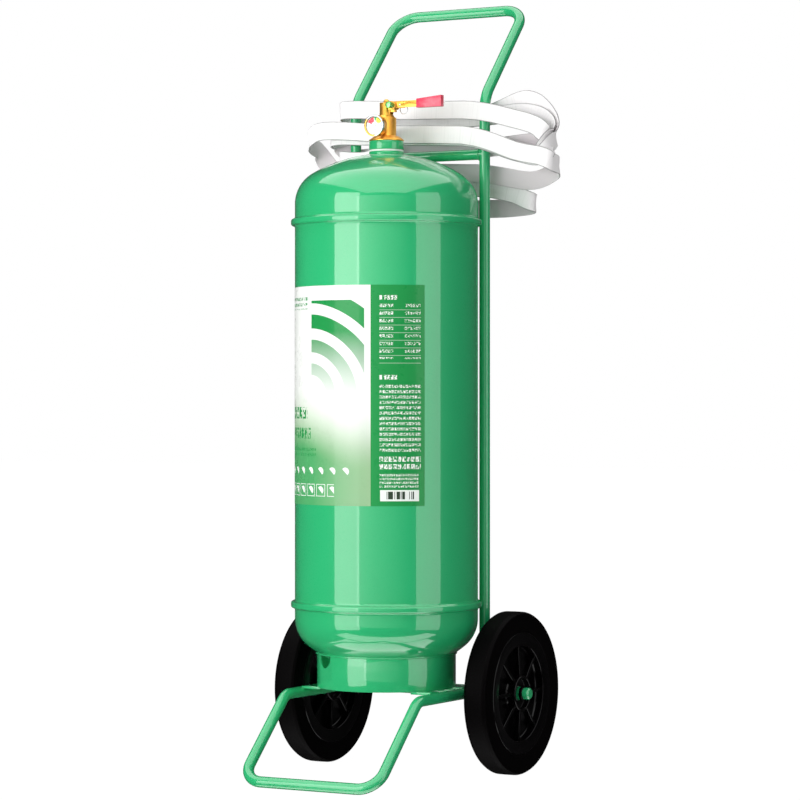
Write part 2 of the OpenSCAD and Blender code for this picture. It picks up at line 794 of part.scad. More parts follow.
module bush(side) {
    color(steel) on_wheel(side) translate([0, 0, -hub_floor]) ring(bush_r, axle_r + run_fit, 2 * hub_floor);
}

module left_tyre() {
    tyre(-1);
}

module left_hub() {
    wheel_hub(-1);
}

module left_bush() {
    bush(-1);
}

module right_tyre() {
    tyre(1);
}

module right_hub() {
    wheel_hub(1);
}

module right_bush() {
    bush(1);
}

// ---------- valve ----------
module neck_gasket() {
    color(white) at_axis() translate([0, 0, neck_z]) ring(neck_r - 0.5, spigot_d / 2, gasket_t);
}

module valve_collar() {
    color(green) at_axis() translate([0, 0, collar_z]) ring(neck_r, spigot_d / 2, collar_h);
}

// The body's outside, solid
module valve_blank() {
    cap_low_z = 1.5;
    cap_mid = (pow(flange_h, 2) - pow(cap_low_z, 2) - pow(neck_r, 2) + pow(flange_top_d / 2, 2))
        / (2 * (flange_h - cap_low_z));
    cap_r = norm([neck_r, cap_low_z - cap_mid]);
    translate([0, 0, flange_z - spigot_l]) cylinder(h = spigot_l + 1, r = spigot_r);
    intersection() {
        translate([0, 0, flange_z]) cylinder(h = flange_h, r = neck_r);
        translate([0, 0, flange_z + cap_mid]) sphere(r = cap_r, $fn = 120);
    }
    translate([0, 0, body_z - 1]) cylinder(h = body_h + 1, r = body_d / 2);
    translate([0, 0, column_z - e]) cylinder(h = 4, r1 = body_d / 2 - 2, r2 = column_d / 2 + 1);
    translate([0, 0, column_z]) cylinder(h = column_h, r = column_d / 2);
    for (side = [-1, 1]) {
        ear_low_y = side > 0 ? slot_half : -ear_y;
        translate([0, ear_low_y, pivot_z - ear_r]) cube([pivot_x, ear_t, 2 * ear_r]);
        translate([pivot_x, ear_low_y, pivot_z]) along_y(ear_t, ear_r);
    }
    // tab behind the lever, with an open notch for the safety pin
    translate([pivot_x, slot_half, pin_z - 5]) cube([tab_end, ear_t, 5 + tab_rise]);
    translate([0, 0, outlet_z]) rotate([0, 0, outlet_turn]) along_y(outlet_reach, outlet_d / 2);
}

module valve_body() {
    color(brass) at_axis() difference() {
        valve_blank();
        translate([slot_x, -slot_half, slot_floor_z]) cube([60, slot_w, 60]);
        translate([-stem_d, -slot_half, slot_floor_z])
            cube([60, slot_w, foot_top_z + 0.3 - slot_floor_z]);
        translate([pivot_x, -30, pivot_z]) along_y(60, pivot_d / 2 + run_fit);
        translate([pivot_x + pin_x - pin_d / 2 - 0.4 - pin_sweep, slot_half - 1, pin_z - pin_d / 2 - 0.4])
            cube([pin_d + 0.8 + pin_sweep, ear_t + 2, 20]);
        translate([0, 0, plug_top_z - plug_h - 20]) cylinder(h = plug_h + 20, r = plug_r + run_fit);
        translate([0, 0, plug_top_z - e]) cylinder(h = seat_z - plug_top_z, r = chamber_r);
        translate([0, 0, seat_z - 1]) cylinder(h = seat_lip_t + 2, r = seat_bore_r);
        translate([0, 0, seat_z + seat_lip_t]) cylinder(h = upper_chamber_top - seat_z - seat_lip_t,
            r = upper_chamber_r);
        translate([0, 0, upper_chamber_top - 1]) cylinder(h = 60 - 1, r = stem_d / 2 + run_fit, $fn = 64);
        translate([0, 0, outlet_z]) rotate([0, 0, outlet_turn])
            along_y(outlet_reach + 1, outlet_bore_d / 2);
        translate([0, -body_d, gauge_z]) along_y(body_d / 2 + 5, stub_d / 2 + run_fit);
        translate([0, -body_d / 2 + 4, gauge_z]) rotate([180 + port_tilt, 0, 0]) cylinder(h = 22, r = 1.2);
    }
}

module top_plug() {
    color(brass) at_axis() translate([0, 0, column_top_z]) {
        intersection() {
            cylinder(h = 6.4, r = 4.8);
            translate([0, 0, 1.2]) sphere(r = 5.2);
        }
    }
}

module stem() {
    color(brass) at_axis() {
        translate([0, 0, disc_top_z - disc_t]) cylinder(h = disc_t, r = disc_r);
        translate([0, 0, disc_top_z - 1]) cylinder(h = foot_top_z - disc_top_z, r = stem_d / 2);
        translate([-stem_d / 2 - 1, 0.6 - slot_half, foot_top_z - foot_t])
            cube([pivot_x + stem_d / 2 + 4, slot_w - 1.2, foot_t]);
    }
}

module stem_seal() {
    color(black) at_axis() translate([0, 0, disc_top_z]) ring(disc_r, stem_d / 2 + run_fit, seal_t);
}

module stem_spring() {
    low = plug_top_z + spring_wire / 2 + run_fit;
    high = disc_top_z - disc_t - spring_wire / 2 - run_fit;
    mean_r = chamber_r - spring_wire;
    steps = 8 * spring_turns;
    sides = 6;
    wire_points = [for (i = [0 : steps], j = [0 : sides - 1])
        let (a = i * 45, b = j * 60, r = mean_r + spring_wire / 2 * cos(b))
        [r * cos(a), r * sin(a), mix(low, high, i / steps) + spring_wire / 2 * sin(b)]];
    color(steel) at_axis() polyhedron(
        points = wire_points,
        faces = [
            for (i = [1 : sides - 2]) [0, i, i + 1],
            for (i = [1 : sides - 2]) [steps * sides, steps * sides + i + 1, steps * sides + i],
            for (i = [0 : steps - 1], j = [0 : sides - 1])
                each let (a = i * sides + j, b = i * sides + (j + 1) % sides)
                    [[a, a + sides, b], [b, a + sides, b + sides]],
        ],
        convexity = 10);
}

module spring_seat() {
    color(brass) at_axis() difference() {
        translate([0, 0, plug_top_z - plug_h]) cylinder(h = plug_h, r = plug_r);
        translate([0, 0, plug_top_z - plug_h - 1]) cylinder(h = plug_h + 2, r = seat_bore_r);
        translate([0, 0, plug_top_z - plug_h - 1]) cylinder(h = plug_h - 5, r = dip_r + run_fit);
    }
}

module dip_tube() {
    low = bottom_z + shell_wall + dip_clear + 10;
    color(white) at_axis() translate([0, 0, low])
        ring(dip_r, dip_r - dip_wall, plug_top_z - 6.2 - low);
}

module strainer() {
    color(white) at_axis() translate([0, 0, bottom_z + shell_wall + dip_clear]) difference() {
        cylinder(h = 25, r = dip_r + run_fit + 2);
        translate([0, 0, 2]) cylinder(h = 9, r = dip_r - dip_wall);
        translate([0, 0, 10]) cylinder(h = 20, r = dip_r + run_fit);
        for (a = [0 : 60 : 300]) rotate([0, 0, a]) translate([0, 0, 6]) along_y(30, 2);
    }
}

// ---------- lever and pin ----------
// The hub's edge is a steady spiral, so that the stem goes down in proportion to the lift.
function cam_radius(a) = hub_r + stem_travel * clamp((a + 90) / -lever_lift, 0, 1);
module cam_outline() {
    polygon([for (a = [-90 : -5 : -90 - lever_lift]) cam_radius(a) * [cos(a), sin(a)],
        [0, 0]]);
    circle(r = hub_r);
}

module lever() {
    color(brass) at_axis() translate([pivot_x, 0, pivot_z]) difference() {
        union() {
            translate([0, slot_half - 0.3, 0]) rotate([90, 0, 0])
                linear_extrude(height = slot_w - 0.6) cam_outline();
            translate([0, -arm_t / 2, arm_rise - arm_h / 2]) cube([lever_l - grip_l + 2, arm_t, arm_h]);
            translate([0, -arm_t / 2 + 0.5, arm_rise - arm_h / 2 + 1])
                cube([lever_l - 3, arm_t - 1, arm_h - 2]);
        }
        translate([0, -slot_w, 0]) along_y(2 * slot_w, pivot_d / 2 + run_fit);
        translate([pin_x, -slot_w, pin_z - pivot_z]) along_y(2 * slot_w, pin_d / 2 + run_fit);
    }
}

module lever_grip() {
    grip_x = lever_l - grip_l;
    grip_low = arm_rise - grip_h_in / 2;
    color(red) at_axis() translate([pivot_x, 0, pivot_z]) difference() {
        translate([0, grip_t / 2, 0]) rotate([90, 0, 0]) linear_extrude(height = grip_t)
            polygon([[grip_x, grip_low], [lever_l, grip_low], [lever_l, grip_low + grip_h_out],
                [grip_x, grip_low + grip_h_in]]);
        translate([grip_x - 1, -arm_t / 2 - run_fit, arm_rise - arm_h / 2 - run_fit])
            cube([3 + run_fit, arm_t + 2 * run_fit, arm_h + 2 * run_fit]);
        translate([grip_x - 1, -arm_t / 2 + 0.5 - run_fit, arm_rise - arm_h / 2 + 1 - run_fit])
            cube([grip_l - 2 + run_fit, arm_t - 1 + 2 * run_fit, arm_h - 2 + 2 * run_fit]);
    }
}

module pivot_bolt() {
    color(green) at_axis() translate([pivot_x, 0, pivot_z]) {
        translate([0, -ear_y - 1, 0]) along_y(2 * ear_y + 6, pivot_d / 2);
        translate([0, -ear_y - bolt_head_l, 0]) along_y(bolt_head_l - run_fit, bolt_head_d / 2);
    }
}

module pivot_nut() {
    color(green) at_axis() translate([pivot_x, ear_y + run_fit, pivot_z]) rotate([-90, 0, 0]) difference() {
        cylinder(h = 4, r = 5.4, $fn = 6);
        translate([0, 0, -1]) cylinder(h = 6, r = pivot_d / 2 + run_fit);
    }
}

eye_y = 3.6;
module safety_pin() {
    color(steel) at_axis() translate([pivot_x + pin_x, ear_y + 0.6, pin_z]) difference() {
        union() {
            translate([0, -ear_y - arm_t / 2 - 1, 0]) along_y(ear_y + arm_t / 2 + 2, pin_d / 2);
            along_y(2 * eye_y - 1.4, 2);
        }
        translate([-5, eye_y - 0.6, 0]) along_x(10, pull_wire / 2 + 0.4);
    }
}

module pull_ring() {
    color(steel) at_axis() translate([pivot_x + pin_x, ear_y + eye_y, pin_z - pull_r]) rotate([90, 0, 0])
        rotate_extrude() translate([pull_r, 0]) circle(r = pull_wire / 2, $fn = 32);
}

// ---------- gauge ----------
module on_gauge() {
    at_axis() translate([0, 0, gauge_z]) children();
}

module gauge_case() {
    depth = gauge_reach - 2 + case_back_y;
    color(brass) on_gauge() difference() {
        union() {
            translate([0, case_back_y - depth, 0]) along_y(depth, case_r);
            translate([0, case_back_y - 1, 0]) along_y(-case_back_y - body_d / 2 + 6.5 - 1, stub_d / 2);
            translate([0, case_back_y, 0]) along_y(5, stub_d / 2 + 2);
        }
        translate([0, dial_y, 0]) along_y(case_back_y - dial_y - 1.5, case_r - 2);
        translate([0, -gauge_reach, 0]) along_y(gauge_reach + dial_y, case_r - 1);
        translate([0, case_back_y - 3, 0]) along_y(40, 1);
    }
}

module gauge_bezel() {
    color(steel) on_gauge() {
        translate([0, -gauge_reach, 0]) rotate([-90, 0, 0]) ring(bezel_r, case_r - 2, 2 - run_fit);
        translate([0, -gauge_reach + 1, 0]) rotate([-90, 0, 0]) ring(bezel_r, case_r + run_fit, 5);
    }
}

module gauge_dial() {
    color(white) on_gauge() translate([0, dial_y - 0.5, 0]) rotate([-90, 0, 0])
        ring(case_r - 1 - run_fit, 0.8, 0.5 - run_fit);
}

module gauge_needle() {
    color(white) on_gauge() translate([0, dial_y - 0.7, 0]) rotate([90, 0, 0]) difference() {
        linear_extrude(height = 0.6) union() {
            circle(r = 1.8);
            polygon([[-0.8, -4], [0.8, -4], [0.3, needle_l], [-0.3, needle_l]]);
        }
        translate([0, 0, -1]) cylinder(h = 3, r = 0.6 + run_fit);
    }
}

module gauge_arbor() {
    color(brass) on_gauge() translate([0, dial_y - 1.35, 0])
        along_y(case_back_y - 1.5 - dial_y + 1.35 - run_fit, 0.6);
}

module gauge_window() {
    color([0.8, 0.9, 0.9, 0.35]) on_gauge() translate([0, 1 - gauge_reach + 1, 0])
        along_y(1, case_r - 1 - run_fit);
}

module bourdon_tube() {
    tube_y = (dial_y + case_back_y) / 2;
    color(brass) on_gauge() translate([0, tube_y, 0]) {
        rotate([90, -70, 0]) rotate_extrude(angle = 250) translate([10.5, 0]) circle(r = 1.6, $fn = 24);
        translate([-2.5, -2, -12.6]) cube([5, case_back_y - 1.5 - tube_y + 2 - run_fit, 5]);
    }
}

// ---------- hose ----------
module ferrule() {
    ring(ferrule_r, tail_r + run_fit, ferrule_l);
}

module at_outlet(reach) {
    at_axis() translate([0, 0, outlet_z]) rotate([0, 0, outlet_turn]) translate([0, reach, 0])
        rotate([-90, 0, 0]) children();
}

module hose_coupling() {
    color(brass) at_outlet(outlet_reach + run_fit) difference() {
        union() {
            cylinder(h = hex_l - run_fit, r = 14, $fn = 6);
            cylinder(h = hex_l + ferrule_l - 2, r = tail_r);
        }
        translate([0, 0, -1]) cylinder(h = 60, r = tail_bore_d / 2);
    }
}

module hose_clamp() {
    color(steel) at_outlet(outlet_reach + hex_l + run_fit) ferrule();
}

// The hose is round in its ferrules and flattens over a few centimetres.
function roundness(i, flat_at) = clamp(1 - i / flat_at, 0, 1);

module hose_lead() {
    p = smooth(raised(lead_points), 2);
    n = len(p);
    color(white) at_axis() hose_tube([for (q = p) q + (q == p[0] ? 2 * run_fit : 0) * outlet_way],
        outlet_way, coil_first, [for (q = p) [0, 0, 1]], [for (i = [0 : n - 1]) roundness(i, 6)]);
}

module hose_coil() {
    color(white) at_axis() hose_tube(coil_rings, coil_first, coil_last, [for (q = coil_rings) [0, 0, 1]],
        [for (q = coil_rings) 0]);
    echo(least_hose_gap = hose_gap());
}

module hose_tail() {
    p = smooth(raised(tail_points), 2);
    n = len(p);
    turn_down = 9;
    color(white) at_axis() hose_tube([for (i = [0 : n - 1]) p[i] + [0, 0, i == n - 1 ? 2 * run_fit : 0]],
        coil_last, [0, 0, -1],
        [for (i = [0 : n - 1])
            unit(mix([0, 0, 1], [-1, 0, 0], clamp((i - n + turn_down + 1) / turn_down, 0, 1)))],
        [for (i = [0 : n - 1]) roundness(n - 1 - i, 6)]);
}

// Least gap between turns, where the flat hose stands upright beside itself
function plan(p) = [p[0], p[1]];
function beside(q, a, b) =
    let (d = plan(b) - plan(a), t = clamp((plan(q) - plan(a)) * d / (d * d), 0, 1),
        clear_y = norm(plan(q) - plan(a) - t * d) - hose_t, clear_z = abs(q[2] - mix(a[2], b[2], t)) - hose_w)
    clear_z < 0 ? clear_y : norm([max(clear_y, 0), clear_z]);
function hose_gap() =
    let (fine = coil_points(48), n = len(fine))
    min([for (i = [0 : n - 1], j = [0 : n - 2])
        if (abs(i - j) > 12 && norm(fine[i] - fine[j]) < 3 * hose_w) beside(fine[i], fine[j], fine[j + 1])]);

// ---------- nozzle ----------
module at_nozzle(z) {
    at_axis() translate([nozzle_at[0], nozzle_at[1], z]) children();
}

module nozzle_clamp() {
    color(steel) at_nozzle(nozzle_top_z - ferrule_l) ferrule();
}

module nozzle_body() {
    color(brass) at_nozzle(0) difference() {
        union() {
            translate([0, 0, housing_z]) cylinder(h = hex_l - run_fit, r = 14, $fn = 6);
            translate([0, 0, housing_z]) cylinder(h = hex_l + ferrule_l - 2, r = tail_r);
            translate([0, 0, nozzle_neck_z]) cylinder(h = housing_l, r = housing_d / 2);
            translate([0, 0, nozzle_neck_z - collar_t]) cylinder(h = collar_t + 1, r = housing_d / 2 + 3);
            translate([0, 0, sleeve_z]) cylinder(h = nozzle_neck_l + 1, r = nozzle_neck_d / 2);
            translate([0, 0, tip_z]) cylinder(h = sleeve_l + 5, r = barrel_pipe_d / 2);
        }
        translate([0, 0, tip_z - 1]) cylinder(h = nozzle_top_z - tip_z + 10, r = waterway_d / 2);
        translate([0, 0, ball_z]) sphere(r = ball_d / 2 + run_fit, $fn = 96);
        translate([0, 0, ball_z]) along_y(housing_d, 3 + run_fit);
        translate([0, 0, ball_z]) cylinder(h = housing_z - ball_z - e, r = waterway_d / 2);
    }
}

module nozzle_ball() {
    color(steel) at_nozzle(ball_z) difference() {
        union() {
            rotate([0, 90, 0]) sphere(r = ball_d / 2, $fn = 96);
            translate([0, ball_d / 2 - 2, 0]) along_y(housing_d / 2 + 5 - ball_d / 2, 3);
        }
        translate([-ball_d, 0, 0]) along_x(2 * ball_d, waterway_d / 2);
    }
}

module nozzle_lever() {
    color(red) at_nozzle(ball_z) translate([0, housing_d / 2 + 1, 0]) difference() {
        union() {
            along_y(4, 7);
            translate([0, 0, -6]) cube([nozzle_lever_l, 4, 12]);
            translate([nozzle_lever_l, 0, 0]) along_y(4, 6);
        }
        translate([0, -1, 0]) along_y(3 + run_fit, 3 + run_fit);
    }
}

module nozzle_grip() {
    color(black) at_nozzle(sleeve_z - sleeve_l)
        ring(barrel_pipe_d / 2 + run_fit + sleeve_t, barrel_pipe_d / 2 + run_fit, sleeve_l - run_fit);
}

module nozzle_tip() {
    color(brass) at_nozzle(tip_z - tip_l) difference() {
        union() {
            cylinder(h = tip_l - 14, r1 = tip_end_d / 2, r2 = barrel_pipe_d / 2);
            translate([0, 0, tip_l - 14 - e]) cylinder(h = 14 - run_fit, r = barrel_pipe_d / 2 + 2);
        }
        translate([0, 0, -1]) cylinder(h = tip_l + 2, r = tip_bore_d / 2);
    }
}

// A spring clip on the left post, open to the back, with the nozzle's collar on it
module nozzle_hanger() {
    clip_r = nozzle_neck_d / 2 + 0.3;
    to_post = [-post_x, post_y] - nozzle_at;
    post_bearing = atan2(to_post[1], to_post[0]);
    arm = norm(to_post) - tube_r - clip_r - hanger_wall / 2 - seat_gap;
    color(green) at_nozzle(nozzle_neck_z - collar_t - hanger_h - run_fit) rotate([0, 0, post_bearing]) {
        difference() {
            ring(clip_r + hanger_wall, clip_r, hanger_h);
            translate([-2 * clip_r, -0.4 * nozzle_neck_d, -1])
                cube([2 * clip_r, 0.8 * nozzle_neck_d, hanger_h + 2]);
        }
        translate([clip_r + hanger_wall / 2, -hanger_wall / 2, 0]) cube([arm, hanger_wall, hanger_h]);
    }
}

barrel();
top_head();
bottom_head();
upper_seam();
lower_seam();
neck_ring();
base_ring();
label();
handle_frame();
foot_frame();
cross_tube();
skirt_lugs();
axle();
inner_spacers();
outer_sleeves();
axle_rings();
left_tyre();
left_hub();
left_bush();
right_tyre();
right_hub();
right_bush();
neck_gasket();
valve_collar();
valve_body();
top_plug();
stem();
stem_seal();
stem_spring();
spring_seat();
dip_tube();
strainer();
lever();
lever_grip();
pivot_bolt();
pivot_nut();
safety_pin();
pull_ring();
gauge_case();
gauge_bezel();
gauge_dial();
gauge_needle();
gauge_arbor();
gauge_window();
bourdon_tube();
hose_coupling();
hose_clamp();
hose_lead();
hose_coil();
hose_tail();
nozzle_clamp();
nozzle_body();
nozzle_ball();
nozzle_lever();
nozzle_grip();
nozzle_tip();
nozzle_hanger();
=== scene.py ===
"""Dresses a wheeled fire extinguisher: painted vessel, bent-tube trolley, brass lever valve and flat hose."""

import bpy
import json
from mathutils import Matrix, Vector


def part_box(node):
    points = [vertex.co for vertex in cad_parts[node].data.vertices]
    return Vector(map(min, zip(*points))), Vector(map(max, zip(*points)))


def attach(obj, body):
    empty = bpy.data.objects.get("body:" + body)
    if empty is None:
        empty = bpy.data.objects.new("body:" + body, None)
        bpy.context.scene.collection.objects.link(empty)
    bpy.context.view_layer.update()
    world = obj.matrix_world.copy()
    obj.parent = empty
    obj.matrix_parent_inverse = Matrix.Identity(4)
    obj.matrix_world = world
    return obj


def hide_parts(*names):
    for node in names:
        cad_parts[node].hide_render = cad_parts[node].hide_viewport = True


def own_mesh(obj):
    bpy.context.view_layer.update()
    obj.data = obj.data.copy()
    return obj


bl_info = {
    "name": "Wheeled Fire Extinguisher",
    "version": (1, 0, 0),
    "blender": (4, 5, 0),
    "location": "View3D > Sidebar > Extinguisher",
    "description": "Models and paints the pieces of a wheeled fire extinguisher round its fixed frame",
    "category": "Object",
}

import json
import math

import bpy
from bpy.props import FloatProperty, FloatVectorProperty, IntProperty, PointerProperty
from mathutils import Matrix, Vector, noise

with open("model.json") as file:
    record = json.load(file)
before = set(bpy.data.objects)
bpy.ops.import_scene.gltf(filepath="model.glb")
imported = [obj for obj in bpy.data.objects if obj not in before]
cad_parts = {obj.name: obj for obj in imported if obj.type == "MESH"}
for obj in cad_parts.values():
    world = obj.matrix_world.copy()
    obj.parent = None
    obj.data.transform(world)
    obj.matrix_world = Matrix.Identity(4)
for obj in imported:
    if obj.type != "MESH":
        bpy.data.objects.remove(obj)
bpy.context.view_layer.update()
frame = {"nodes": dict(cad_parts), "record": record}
X, Z = Vector((1, 0, 0)), Vector((0, 0, 1))
FULL_TURN = 2 * math.pi
CAMERA_BEARING = math.radians(29.9)  # from the front towards the right
SHELL_RADIUS_MM = 152.5  # the label's print is set out in millimetres


def middle(node):
    low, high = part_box(node)
    return (low + high) / 2


def span(node, axis):
    low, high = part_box(node)
    return low[axis], high[axis]


def half_span(node, axis):
    low, high = span(node, axis)
    return (high - low) / 2


AXIS = Vector((0, middle("barrel").y, 0))  # foot of the vessel's axis


# ---------- sizes and colours a user may change ----------
class VesselSettings(bpy.types.PropertyGroup):
    radius: FloatProperty(
        name="Radius", description="Outside radius of the shell", default=0.1525, unit="LENGTH")
    wall: FloatProperty(name="Wall", description="Thickness of the shell", default=0.0025, unit="LENGTH")
    top_dome: FloatProperty(
        name="Top dome", description="Depth of the upper head", default=0.084, unit="LENGTH")
    bottom_dome: FloatProperty(
        name="Bottom dome", description="Depth of the lower head", default=0.092, unit="LENGTH")
    knuckle: FloatProperty(
        name="Knuckle", description="Knuckle radius of both heads", default=0.058, unit="LENGTH")
    seam_proud: FloatProperty(
        name="Seam", description="How far the seams stand out", default=0.0065, unit="LENGTH")
    sides: IntProperty(name="Sides", description="Steps round the vessel", default=144, min=48, max=256)


class TrolleySettings(bpy.types.PropertyGroup):
    tube: FloatProperty(
        name="Tube radius", description="Outside radius of the tubes", default=0.009, unit="LENGTH")
    spacing: FloatProperty(
        name="Half spacing", description="From the middle to a post", default=0.1256, unit="LENGTH")
    lean_bend: FloatProperty(
        name="Lean bend", description="Bend radius at the lean", default=0.06, unit="LENGTH")
    handle_bend: FloatProperty(
        name="Handle bend", description="Corner radius of the handle", default=0.04, unit="LENGTH")
    foot_bend: FloatProperty(
        name="Foot bend", description="Bend radius where the rails turn down", default=0.032, unit="LENGTH")
    foot_corner: FloatProperty(
        name="Foot corner", description="Corner radius of the foot", default=0.036, unit="LENGTH")
    weld: FloatProperty(
        name="Weld", description="Radius of the weld beads", default=0.0016, unit="LENGTH")


class WheelSettings(bpy.types.PropertyGroup):
    shoulder: FloatProperty(
        name="Shoulder", description="Rounding of the tyre", default=0.006, unit="LENGTH")
    rim: FloatProperty(name="Rim", description="Radius where the ribs end", default=0.079, unit="LENGTH")
    boss: FloatProperty(name="Boss", description="Radius of the boss", default=0.0296, unit="LENGTH")
    ribs: IntProperty(name="Ribs", description="Ribs on each side of a wheel", default=8, min=3, max=16)


class HoseSettings(bpy.types.PropertyGroup):
    width: FloatProperty(
        name="Width", description="Width of the flat hose", default=0.031, unit="LENGTH")
    thickness: FloatProperty(
        name="Thickness", description="Thickness at the folds", default=0.0029, unit="LENGTH")
    steps: IntProperty(
        name="Steps", description="Points of the route in each turn", default=96, min=24, max=192)


class FinishColours(bpy.types.PropertyGroup):
    green: FloatVectorProperty(
        name="Green", description="Powder coat", subtype="COLOR", default=(0.022, 0.42, 0.155))
    label_green: FloatVectorProperty(
        name="Label green", description="Printed green", subtype="COLOR", default=(0.014, 0.265, 0.062))
    brass: FloatVectorProperty(
        name="Brass", description="Valve brass", subtype="COLOR", default=(0.80, 0.40, 0.06))
    red: FloatVectorProperty(
        name="Red", description="Grip", subtype="COLOR", default=(0.72, 0.045, 0.10))
    hose: FloatVectorProperty(
        name="Hose", description="Woven jacket", subtype="COLOR", default=(0.88, 0.862, 0.868))


# ---------- modelling helpers ----------
def deselect():
    if bpy.context.object and bpy.context.object.mode != "OBJECT":
        bpy.ops.object.mode_set(mode="OBJECT")
    bpy.ops.object.select_all(action="DESELECT")


def pick(piece):
    deselect()
    piece.select_set(True)
    bpy.context.view_layer.objects.active = piece


def settle(piece):
    """Puts a piece's place into its mesh, so that its object lies at the origin."""
    pick(piece)
    bpy.ops.object.transform_apply(location=True, rotation=True, scale=True)


def named(name):
    piece = bpy.context.object
    piece.name = name
    piece.data.name = name
    return piece


def tidy_mesh(piece, merge):
    """Merges doubles and points the faces outwards."""
    pick(piece)
    bpy.ops.object.mode_set(mode="EDIT")
    bpy.ops.mesh.select_all(action="SELECT")
    bpy.ops.mesh.remove_doubles(threshold=merge)
    bpy.ops.mesh.normals_make_consistent(inside=False)
    bpy.ops.object.mode_set(mode="OBJECT")


def smooth(piece, degrees):
    pick(piece)
    bpy.ops.object.shade_smooth_by_angle(angle=math.radians(degrees))


def modify(piece, kind, **values):
    pick(piece)
    bpy.ops.object.modifier_add(type=kind)
    modifier = piece.modifiers[-1]
    for key, value in values.items():
        setattr(modifier, key, value)
    bpy.ops.object.modifier_apply(modifier=modifier.name)


def filleted(corners, steps):
    """A closed outline whose corners (a, b, radius) are rounded; (a, b) stays sharp."""
    outline = []
    for i, corner in enumerate(corners):
        here = Vector(corner[:2])
        if len(corner) < 3 or corner[2] <= 0:
            outline.append(here)
            continue
        before, after = (Vector(corners[k % len(corners)][:2]) - here for k in (i - 1, i + 1))
        u, v = before.normalized(), after.normalized()
        half = u.angle(v) / 2
        reach = min(corner[2] / math.tan(half), 0.49 * before.length, 0.49 * after.length)
        radius = reach * math.tan(half)
        centre = here + (u + v).normalized() * (radius / math.sin(half))
        start, end = here + u * reach - centre, here + v * reach - centre
        turn = start.angle_signed(end)
        for k in range(steps + 1):
            a = -turn * k / steps
            outline.append(centre + Vector((start.x * math.cos(a) - start.y * math.sin(a),
                                            start.x * math.sin(a) + start.y * math.cos(a))))
    return outline


def mirrored(corners, between=()):
    """An outline's first half, what lies between, and the same half beyond the middle line."""
    return [*corners, *between, *((a, -b, *rest) for a, b, *rest in reversed(corners))]


def both_sides(points):
    """Points on the left, then the same ones on the right in the opposite order."""
    return [Vector(p) for p in points] + [Vector((-x, y, z)) for x, y, z in reversed(points)]


def turned(name, outline, centre, steps, smooth_at, axis=Z, across=X, angle=FULL_TURN):
    """A piece turned on a lathe: a closed outline of (radius, height) points, spun round its axis."""
    spots = [centre + across * p[0] + axis * p[1] for p in outline]
    spots.append(spots[0])
    deselect()
    bpy.ops.mesh.primitive_plane_add(size=0.01, location=(0, 0, 0))
    piece = named(name)
    bpy.ops.object.mode_set(mode="EDIT")
    bpy.ops.mesh.select_all(action="SELECT")
    bpy.ops.mesh.merge(type="CENTER")
    bpy.ops.transform.translate(value=spots[0])
    for a, b in zip(spots, spots[1:]):
        bpy.ops.mesh.extrude_vertices_move(TRANSFORM_OT_translate={"value": b - a})
    bpy.ops.mesh.select_all(action="SELECT")
    bpy.ops.mesh.spin(steps=steps, angle=angle, center=centre, axis=axis)
    bpy.ops.object.mode_set(mode="OBJECT")
    tidy_mesh(piece, 2e-6)
    smooth(piece, smooth_at)
    return piece


def bent_tube(name, corners, bends, radius, sides=40, bend_steps=14):
    """A round tube along straight lines with a bend at each inner corner, its ends closed."""
    heading = (corners[1] - corners[0]).normalized()
    deselect()
    turn = Z.rotation_difference(heading).to_euler()
    bpy.ops.mesh.primitive_circle_add(vertices=sides, radius=radius, location=corners[0], rotation=turn)
    piece = named(name)
    settle(piece)
    bpy.ops.object.mode_set(mode="EDIT")
    bpy.ops.mesh.select_all(action="SELECT")
    here = corners[0]
    for bend, corner, beyond in zip(bends, corners[1:], corners[2:]):
        after = (beyond - corner).normalized()
        angle = heading.angle(after)
        cut = bend * math.tan(angle / 2)
        stop = corner - heading * cut
        bpy.ops.mesh.extrude_region_move(TRANSFORM_OT_translate={"value": stop - here})
        inward = (after - heading * after.dot(heading)).normalized()
        bpy.ops.mesh.spin(steps=bend_steps, angle=-angle, center=stop + inward * bend,
                          axis=heading.cross(inward))
        here = corner + after * cut
        heading = after
    bpy.ops.mesh.extrude_region_move(TRANSFORM_OT_translate={"value": corners[-1] - here})
    bpy.ops.mesh.edge_face_add()
    bpy.ops.mesh.select_all(action="DESELECT")
    bpy.ops.object.mode_set(mode="OBJECT")
    for e in piece.data.edges:
        e.select = all((piece.data.vertices[v].co - corners[0]).length < 1.2 * radius for v in e.vertices)
    bpy.ops.object.mode_set(mode="EDIT")
    bpy.ops.mesh.edge_face_add()
    bpy.ops.object.mode_set(mode="OBJECT")
    tidy_mesh(piece, 1e-6)
    smooth(piece, 35)
    return piece


def refined(node, bevel, name=None):
    """A copy of a frame solid with its faces joined and its edges rounded, which stands for it."""
    source = frame["nodes"][node]
    deselect()
    piece = source.copy()
    piece.data = source.data.copy()
    bpy.context.scene.collection.objects.link(piece)
    for key in list(piece.keys()):
        del piece[key]
    piece.parent = None
    piece.matrix_world = Matrix.Identity(4)
    piece.name = name or node + "_finished"
    piece.data.name = piece.name
    pick(piece)
    bpy.ops.object.mode_set(mode="EDIT")
    bpy.ops.mesh.select_all(action="SELECT")
    bpy.ops.mesh.customdata_custom_splitnormals_clear()
    bpy.ops.mesh.remove_doubles(threshold=1e-6)
    bpy.ops.mesh.dissolve_limited(angle_limit=math.radians(1.2))
    bpy.ops.object.mode_set(mode="OBJECT")
    modify(piece, "BEVEL", width=bevel, segments=2, limit_method="ANGLE",
           angle_limit=math.radians(28), miter_outer="MITER_ARC", harden_normals=False)
    modify(piece, "TRIANGULATE", keep_custom_normals=False)
    smooth(piece, 32)
    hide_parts(node)
    return piece


def joined(name, pieces):
    deselect()
    for piece in pieces:
        piece.select_set(True)
    bpy.context.view_layer.objects.active = pieces[0]
    bpy.ops.object.join()
    return named(name)


